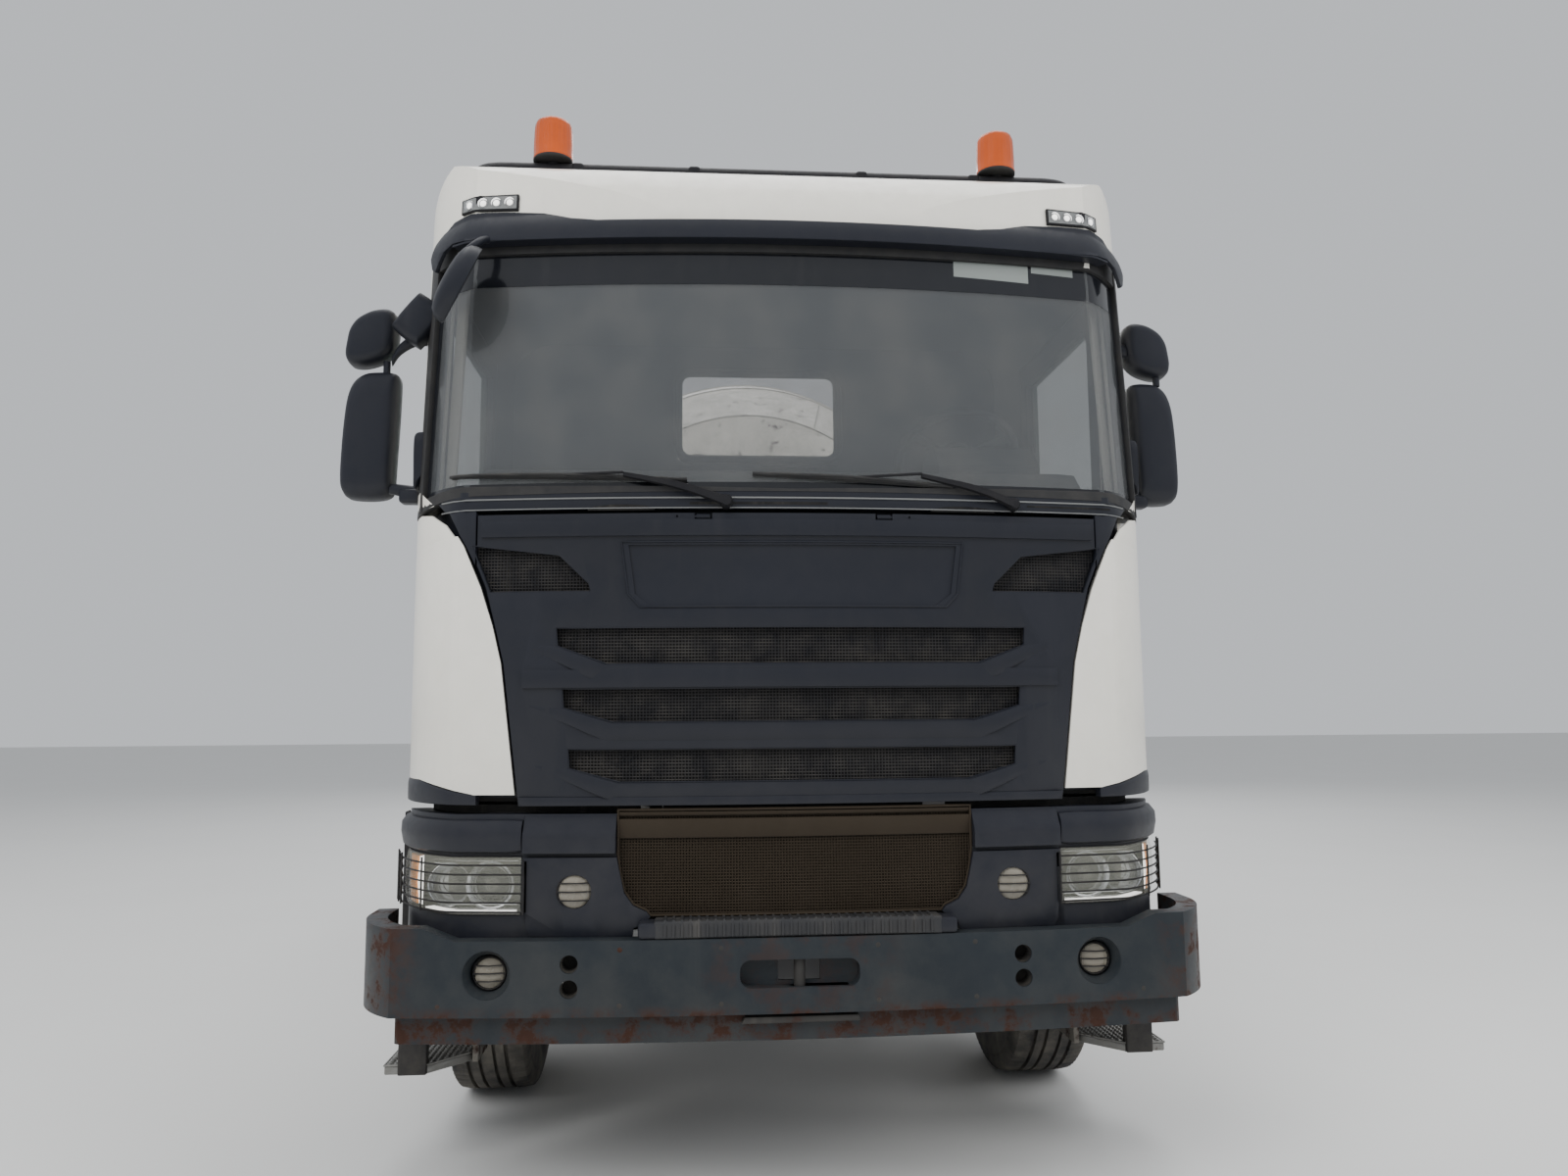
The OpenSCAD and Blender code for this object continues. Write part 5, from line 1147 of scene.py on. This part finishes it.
def mirror_arm(points, side, wide, tall):
    """A tapering oval arm along points given for the left side."""
    line = smooth_line([spot(side * x, d, z) for x, d, z in points], 5)
    rows = []
    for k, p in enumerate(line):
        f = 1.0 - 0.35 * k / len(line)
        rows.append([p + Vector((0, wide * f * cos, tall * f * sin)) for cos, sin in circle(12)])
    return skin(rows)


UPPER_ARM = ((1.196, 0.515, 2.7), (1.235, 0.512, 2.692), (1.28, 0.512, 2.66), (1.305, 0.514, 2.62))
LOWER_ARM = ((1.202, 0.515, 2.17), (1.25, 0.512, 2.178), (1.29, 0.51, 2.184), (1.325, 0.512, 2.188))


def front_mirror():
    """Head, glass and stem of the front mirror of the kerb side, which stands on a corner."""
    base = spot(-1.2, 0.4, 2.735)
    tilt = Matrix.Rotation(math.radians(38), 3, "Y")
    line = [base + tilt @ p for p in outlined(SQUARE, Vector((0, 0, -0.075)), 0.115, 0.15)]
    shell = ((0.0, 0.7), (0.006, 0.88), (0.022, 0.98), (0.05, 1.0), (0.062, 1.0), (0.062, 0.9), (0.056, 0.88))
    pane = ((0.054, 0.87), (0.058, 0.87))
    stem = [spot(-1.2, 0.44, 2.735), spot(-1.22, 0.48, 2.71), spot(-1.25, 0.512, 2.69)]
    head = [skin(scaled_rings(line, steps, base)) for steps in (shell, pane)]
    return head, rod(smooth_line(stem, 4), 0.01, 10)


def kerb_mirror():
    """Head, glass and stem of the kerb mirror under the visor, long and turned down."""
    top, low = spot(-0.965, 0.118, 2.862), spot(-1.078, 0.118, 2.628)
    half = (top - low) / 2
    along = half.normalized()
    face = Vector((0.8, 0.3, -0.4))
    face = (face - along * face.dot(along)).normalized()
    across = along.cross(face) * 0.085
    middle = (top + low) / 2

    def oval(t, grow, pinch=0.0):
        return [middle + face * t + grow * (half * cos * (1.0 - pinch * sin ** 2) + across * sin)
                for cos, sin in circle(36)]

    shell = ((-0.034, 0.3), (-0.031, 0.55), (-0.022, 0.8), (-0.006, 0.95), (0.014, 1.0), (0.026, 1.0),
             (0.026, 0.93), (0.02, 0.92))
    stem = [middle + along * 0.075 - face * 0.02, spot(-0.965, 0.14, 2.875), spot(-0.945, 0.175, 2.905),
            on_screen(-0.93, 2.915, 0.01)]
    head = (skin([oval(t, grow, 0.06) for t, grow in shell]), skin([oval(t, 0.91) for t in (0.016, 0.019)]))
    return head, rod(smooth_line(stem, 4), 0.012, 10)


def make_mirrors():
    """Mirror heads, their arms, the small pods on the pillars and the kerb mirrors."""
    heads, arms = [], []
    for side, main_x, main_w, wide_x, wide_w in ((1, 1.3, 0.158, 1.288, 0.158),
                                                 (-1, 1.37, 0.18, 1.374, 0.165)):
        heads.append(mirror_head(MAIN_HEAD, side * main_x, 2.15, main_w, 0.432, side))
        heads.append(mirror_head(WIDE_HEAD, side * wide_x, 2.602, wide_w, 0.195, side))
        arms += [mirror_arm(UPPER_ARM, side, 0.02, 0.026), mirror_arm(LOWER_ARM, side, 0.022, 0.024)]
        arms.append(turned([(0.012, 0.0), (0.012, 0.045), (0.0, 0.046)], spot(side * 1.322, 0.512, 2.572),
                           segments=12))
        arms.append(cushion((side * 1.233 - 0.033, 0.485, 2.135), (side * 1.233 + 0.033, 0.545, 2.182),
                            0.012))
        pod = outlined(POD, spot(side * 1.168, 0.4, 2.165), 0.062, 0.185, side)
        arms.append(skin(scaled_rings(pod, ((-0.012, 0.8), (0.0, 1.0), (0.04, 1.0), (0.05, 0.9)))))
    for head, stem in (front_mirror(), kerb_mirror()):
        heads.append(head)
        arms.append(stem)
    shells, glasses = zip(*heads)
    group("mirror_heads", "cab", "slate", "front_plastic", *shells, stands_for="mirrors", angle=50)
    group("mirror_glasses", "cab", "mirror", "front_plastic", *glasses)
    group("mirror_arms", "cab", "slate", "front_plastic", *arms, angle=50)


def make_roof():
    """The bar over the roof with its feet, and the two warning lamps."""
    half = [(1.064, 3.29), (1.058, 3.314), (1.038, 3.336), (0.995, 3.346), (0.9, 3.348), (0.45, 3.348)]
    across = mirror_x(half)
    across.insert(len(half), (0.0, 3.348))
    bar = rod(smooth_line([spot(x, 0.62, z) for x, z in across], 5), 0.036, 16)
    feet = []
    for x in (0.71, 0.3):
        for wide, deep, low, high, r in ((0.03, 0.03, 3.2405, 3.315, 0.008),
                                         (0.022, 0.038, 3.3, 3.378, 0.012),
                                         (0.05, 0.05, 3.2403, 3.25, 0.004)):
            feet.append(cushion((x - wide, 0.62 - deep, low), (x + wide, 0.62 + deep, high), r))
    post = turned([(0.036, 0.0), (0.034, 0.012), (0.024, 0.016), (0.024, 0.047), (0, 0.047)],
                  spot(0.8, 0.62, 3.337), segments=24)
    group("bar_over_roof", "cab", "black", "front_plastic", bar, mirrored(*feet, post), stands_for="roof_bar",
          angle=50)
    at = spot(0.8, 0.62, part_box("beacons")[0].z)
    base = turned([(0.0, 0.0), (0.058, 0.0), (0.066, 0.002), (0.0695, 0.005), (0.0695, 0.01), (0.062, 0.012),
                   (0.0, 0.012)], at, segments=40)
    dome = turned([(0.069, 0.01), (0.07, 0.014), (0.0685, 0.018), (0.0682, 0.06), (0.0668, 0.11),
                   (0.065, 0.134), (0.06, 0.147), (0.048, 0.155), (0.025, 0.1585), (0.0, 0.1595)], at,
                  segments=96, dent=lambda i, k: 0.0013 if k % 4 < 2 and 2 < i < 6 else 0.0)
    inside = turned([(0.02, 0.032), (0.04, 0.045), (0.045, 0.09), (0.04, 0.095), (0.03, 0.06), (0.0, 0.05)],
                    at)
    bulb = turned([(0.008, 0.05), (0.012, 0.085), (0.01, 0.105), (0, 0.112)], at, segments=16)
    pair("beacon_bases", "cab", "seal", "beacon_plastic", base)
    pair("beacon_reflectors", "cab", "chrome", "beacon_plastic", inside)
    pair("beacon_bulbs", "cab", "lit", "beacon_plastic", bulb)
    pair("beacon_domes", "cab", "beacon", "beacon_plastic", dome, stands_for="beacons", angle=45)


def make_steps():
    """Entry steps: black panels in front, gripping treads, and the plates that carry them."""
    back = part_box("steps")[1].y - FRONT_Y
    front = back - 0.285
    panels = [cushion((1.15, front - 0.015, 0.3), (1.24, front, 1.13), 0.004),
              cushion((1.15, front, 0.3), (1.153, front + 0.02, 1.13), 0.001),
              cushion((1.237, front, 0.3), (1.24, front + 0.05, 1.13), 0.001)]
    plates = [cushion((1.01, front + 0.11, 0.3), (1.03, back, 1.13), 0.003),
              cushion((0.39, front + 0.13, 0.78), (1.01, front + 0.19, 0.86), 0.006)]
    treads = []
    grips = bmesh.new()
    for z in (0.3, 0.6, 0.88):
        outer = 1.285 - (z - 0.3) * 0.06
        shape = [(1.03, back), (outer, back), (outer, front), (1.15, front), (1.03, front + 0.13)]
        slabs = [[spot(x, d, z + up) for x, d in shape] for up in (0.0, 0.026, 0.0285)]
        treads.append(bevelled(skin(slabs[:2]), 0.003, 1, 30))
        treads.append(rod(slabs[2], 0.0035, 6, closed=True))
        for row in range(math.ceil((outer - 0.01 - 1.046) / 0.0185)):
            x = 1.046 + 0.0185 * row
            d = front + 0.012 + 0.011 * (row % 2)
            while d < back - 0.008:
                if x > 1.162 - 0.12 * (d - front) / 0.13:
                    at = spot(x, d, z + 0.0255)
                    rings = [[at + Vector((r * cos, r * sin, up)) for cos, sin in circle(8)]
                             for r, up in ((0.0068, 0.0), (0.00408, 0.006), (0.00238, 0.001))]
                    grips.faces.new(add_skin(grips, rings)[-1])
                d += 0.022
    pair("step_panels", "chassis", "black", "step_metal", *panels, stands_for="steps")
    pair("step_treads", "chassis", "step", "step_metal", *treads)
    pair("step_grips", "chassis", "step", "step_metal", new_mesh(grips))
    pair("step_plates", "chassis", "steel", "step_metal", *plates)


def make_bumper():
    """The bumper with rolled edges, its towing recess, bolts and the bent lip below."""
    softened("bumper", 0.007, 3)
    aim = (0, -1, 0)
    pin = turned([(0.0165, 0), (0.0165, 0.115), (0.01, 0.12), (0, 0.12)], spot(0, 0.03, 0.662), segments=20)
    lip = plate([(-0.165, 0.5815), (0.17, 0.5835), (0.165, 0.6), (-0.155, 0.6)], -0.07, -0.012, BUMPER,
                bevel=0.003)
    shelf = cushion((-0.15, 0.012, 0.662), (0.15, 0.1, 0.68), 0.005)
    bolts = [turned([(0.01, -0.002), (0.01, 0.002), (0.006, 0.004), (0, 0.0045)],
                    on_front(x, z, plan=BUMPER) + Vector((0, 0.0035, 0)), aim, 12)
             for x, z in ((0.22, 0.79), (0.22, 0.64), (0.5, 0.64), (1.0, 0.64), (0.5, 0.79))]
    # near-black cups: painted shade inside the towing sockets
    cups = [turned([(0.0245, 0.0), (0.022, -0.006), (0.0215, -0.05), (0, -0.05)],
                   on_front(0.641, z, -0.006, BUMPER), aim, 32) for z in (0.752, 0.685)]
    group("tow_lip", "chassis", "darkened", "bumper_paint", lip, shelf)
    group("tow_pin", "chassis", "darkened", "bumper_paint", pin)
    pair("bumper_bolts", "chassis", "darkened", "bumper_paint", *bolts)
    pair("tow_sockets", "chassis", "dark", "bumper_paint", *cups)


def make_hubs():
    """Wheel nuts with their studs, and the hub caps with their bolts."""
    for name in [n for n in nodes if n.startswith("rim")]:
        side = 1 if name.endswith("left") else -1
        low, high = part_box(name.replace("rim", "tyre"))
        y, z = (low.y + high.y) / 2, (low.z + high.z) / 2
        face, hub, hub_r = (0.944, 1.14, 0.15) if name.startswith("rims") else (1.22, 1.265, 0.13)

        def ringed(count, start, r, x, profile, sides):
            """Copies of a turned form in a circle around the hub."""
            places = [Vector((side * x, y + r * sin, z + r * cos)) for cos, sin in circle(count, start)]
            return [turned(profile, at, (side, 0, 0), sides) for at in places]

        nut = [(0.021, 0.0), (0.021, 0.006), (0.017, 0.007), (0.017, 0.026), (0.012, 0.029), (0.0, 0.029)]
        nuts = ringed(10, 0.5, 0.1675, face - 0.001, nut, 6)
        nuts += ringed(10, 0.5, 0.1675, face - 0.001, [(0.0095, 0.02), (0.0095, 0.042), (0.0, 0.044)], 10)
        caps = ringed(8, 0.0, hub_r * 0.84, hub - 0.001, [(0.011, 0.0), (0.011, 0.008), (0.0, 0.009)], 6)
        cap = [(hub_r * 0.64, -0.002), (hub_r * 0.64, 0.012), (hub_r * 0.58, 0.018), (hub_r * 0.2, 0.021),
               (0.0, 0.021)]
        caps += ringed(1, 0.0, 0.0, hub, cap, 32)
        group(name + "_nuts", body_of[name], "bolt", "rim_paint", *nuts, angle=20)
        group(name + "_cap", body_of[name], "rim", "rim_paint", *caps, angle=30)


def pane_bead(node, r, out):
    """A rubber bead around the outer face of a side pane."""
    spots = {}
    for v in nodes[node].data.vertices:
        key = (round(v.co.y, 3), round(v.co.z, 3))
        if key not in spots or abs(v.co.x) > abs(spots[key].x):
            spots[key] = v.co.copy()
    middle = sum(spots.values(), Vector()) / len(spots)
    line = sorted(spots.values(), key=lambda p: math.atan2(p.z - middle.z, p.y - middle.y))
    return rod([p + Vector((math.copysign(out, middle.x), 0, 0)) for p in line], r, 6, closed=True)


def make_doors():
    """Handles, locks and window rubbers of the doors."""
    for name, side in (("left", 1), ("right", -1)):
        node = "door_" + name
        x = side * max(abs(corner.x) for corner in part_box(node))
        grip = [spot(x + side * out, d, z) for out, d, z in (
            (0.004, 1.345, 2.002), (0.024, 1.36, 2.0), (0.027, 1.41, 1.998), (0.024, 1.455, 1.998),
            (0.004, 1.468, 1.998))]
        handle = [cushion((x - 0.006, 1.33, 1.965), (x + 0.006, 1.48, 2.03), 0.005),
                  rod(smooth_line(grip, 4), 0.01),
                  turned([(0.015, 0.0), (0.015, 0.006), (0.011, 0.008), (0.0, 0.008)], spot(x, 1.35, 1.935),
                         (side, 0, 0), 20)]
        group(node + "_handle", node, "black", "front_plastic", *handle, angle=45)
        group(node + "_rubber", node, "seal", "cab_glass", pane_bead("door_glass_" + name, 0.01, 0.002))


def make_tanks():
    """Straps, seams and caps of the tanks, and the side box's lid and catches."""
    d0, d1 = (corner.y - FRONT_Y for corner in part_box("fuel_tank"))

    def strap(d, wide, grow):
        line = rounded(0.45, 1.15, 0.5, 1.1, 0.09, 7, grow)
        return skin([[spot(x, at, z) for x, z in line] for at in (d, d + wide)])

    cap = turned([(0.055, 0.0), (0.055, 0.02), (0.048, 0.032), (0.0, 0.034)],
                 spot(0.98, (d0 + d1) / 2, 1.098), segments=28)
    group("fuel_straps", "chassis", "black", "tank_metal", strap(d0 + 0.2, 0.05, 0.004),
          strap(d1 - 0.26, 0.05, 0.004))
    group("fuel_cap", "chassis", "tank", "tank_metal", cap, strap(d0 + 0.012, 0.004, 0.002),
          strap(d1 - 0.016, 0.004, 0.002))

    def around_tank(profile, places):
        return [turned(profile, spot(x, 2.27, 1.48), (1, 0, 0), 64) for x in places]

    straps = around_tank([(0.1815, -0.025), (0.185, -0.024), (0.185, 0.024), (0.1815, 0.025)],
                         (-0.62, -0.2, 0.2, 0.62))
    welds = around_tank([(0.18, -0.006), (0.183, 0.0), (0.18, 0.006)], (-0.855, 0.855))
    filler = turned([(0.05, -0.01), (0.05, 0.03), (0.058, 0.032), (0.058, 0.052), (0.0, 0.056)],
                    spot(0.42, 2.3, 1.658), segments=28)
    group("water_straps", "chassis", "black", "tank_metal", *straps)
    group("water_fittings", "chassis", "tank", "tank_metal", *welds, filler)
    lid = cushion((-1.157, d0 + 0.01, 0.93), (-0.5, d0 + 0.54, 1.066), 0.008)
    catches = [cushion((-1.166, d0 + d, 0.86), (-1.15, d0 + d + 0.035, 0.965), 0.003) for d in (0.1, 0.41)]
    group("box_lid", "chassis", "black", "box_plastic", lid)
    group("box_catches", "chassis", "bolt", "box_plastic", *catches)


DRUM_TILT = Matrix.Rotation(math.radians(12), 3, "X")


def on_drum(s, r, a):
    """A point in the drum's frame: along its axis, out from it, around it."""
    return spot(0, 2.75, 2.12) + DRUM_TILT @ Vector((r * math.sin(a), s, r * math.cos(a)))


def make_drum():
    """Weld seams round and along the drum, its inspection lid, and the bolts of its drive flange."""
    full = 1.15
    seams = []
    for s, r in ((0.32, 0.93), (0.7, 1.11), (1.0, full), (1.6, full), (2.2, full), (2.95, 1.033),
                 (3.69, 0.915)):
        seams.append(rod([on_drum(s, r, 2 * math.pi * k / 96) for k in range(96)], 0.0055, 6, closed=True))
    for a, points in ((0.4, ((0.32, 0.93), (0.7, 1.11), (1.0, full))), (2.5, ((1.0, full), (1.6, full))),
                      (4.4, ((1.6, full), (2.2, full))), (1.2, ((2.2, full), (3.69, 0.915))),
                      (5.3, ((3.81, 0.89), (4.85, 0.56)))):
        seams.append(rod([on_drum(s, r, a) for s, r in points], 0.0045, 6))
    group("drum_seams", "drum", "seam", "drum_paint", *seams)
    middle, start = 1.6, 1.1

    def cut_off(share):
        return max(-0.9, min(0.9, share * 1.3))

    outline = [(0.26 * cut_off(cos), 0.19 * cut_off(sin) / full) for cos, sin in circle(28)]

    def on_lid(s, a, r, grow=1.0):
        return on_drum(middle + s * grow, r, start + a * grow)

    lid = skin([[on_lid(s, a, r) for s, a in outline] for r in (1.14, 1.158, 1.16)])
    bolts = [rod([on_lid(s, a, 1.158, 0.92), on_lid(s, a, 1.169, 0.92)], 0.01, 6) for s, a in outline[::2]]
    bolts += [rod([on_drum(s, 0.24, 2 * math.pi * k / 12) for s in (-0.03, -0.006)], 0.012, 6)
              for k in range(12)]
    group("drum_lid", "drum", "drum", "drum_paint", lid)
    group("drum_bolts", "drum", "bolt", "drum_paint", *bolts, angle=20)


def make_rear():
    """Tail lamps and the bolts along the frame."""
    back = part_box("rear_bar")[1].y - FRONT_Y
    for name, look, x0, x1, start, deep, inset, r in (
            ("shells", "black", 0.615, 0.985, -0.004, 0.04, 0.0, 0.008),
            ("red", "red", 0.735, 0.855, 0.036, 0.05, 0.008, 0.004),
            ("amber", "amber", 0.862, 0.977, 0.036, 0.05, 0.008, 0.004),
            ("clear", "dull_lens", 0.623, 0.728, 0.036, 0.05, 0.008, 0.004)):
        block = cushion((x0, back + start, 0.558 + inset), (x1, back + deep, 0.672 - inset), r)
        pair("tail_lamp_" + name, "chassis", look, "lamp_glass", block)
    bolt = [(0.014, 0.0), (0.014, 0.01), (0.0, 0.011)]
    bolts = [turned(bolt, spot(0.3895, 0.62 + 0.37 * k, z), (1, 0, 0), 6)
             for k in range(21) for z in (0.8, 0.965)]
    pair("frame_bolts", "chassis", "bolt", "frame_paint", *bolts, angle=20)


make_camera()
make_stage()
dress_nodes()
make_wheels()
make_hatch()
make_lower_panels()
make_headlamps()
make_lamp_guards()
make_round_lamps()
make_low_grille()
make_tread_plate()
make_bumper()
line_cab()
make_screen()
make_visor()
make_cowl()
make_corners()
make_wipers()
make_mirrors()
make_roof()
make_steps()
make_hubs()
make_doors()
make_tanks()
make_drum()
make_rear()
softened("hatch")
softened("corner_panels")
softened("cab_interior", 0.012, 3)
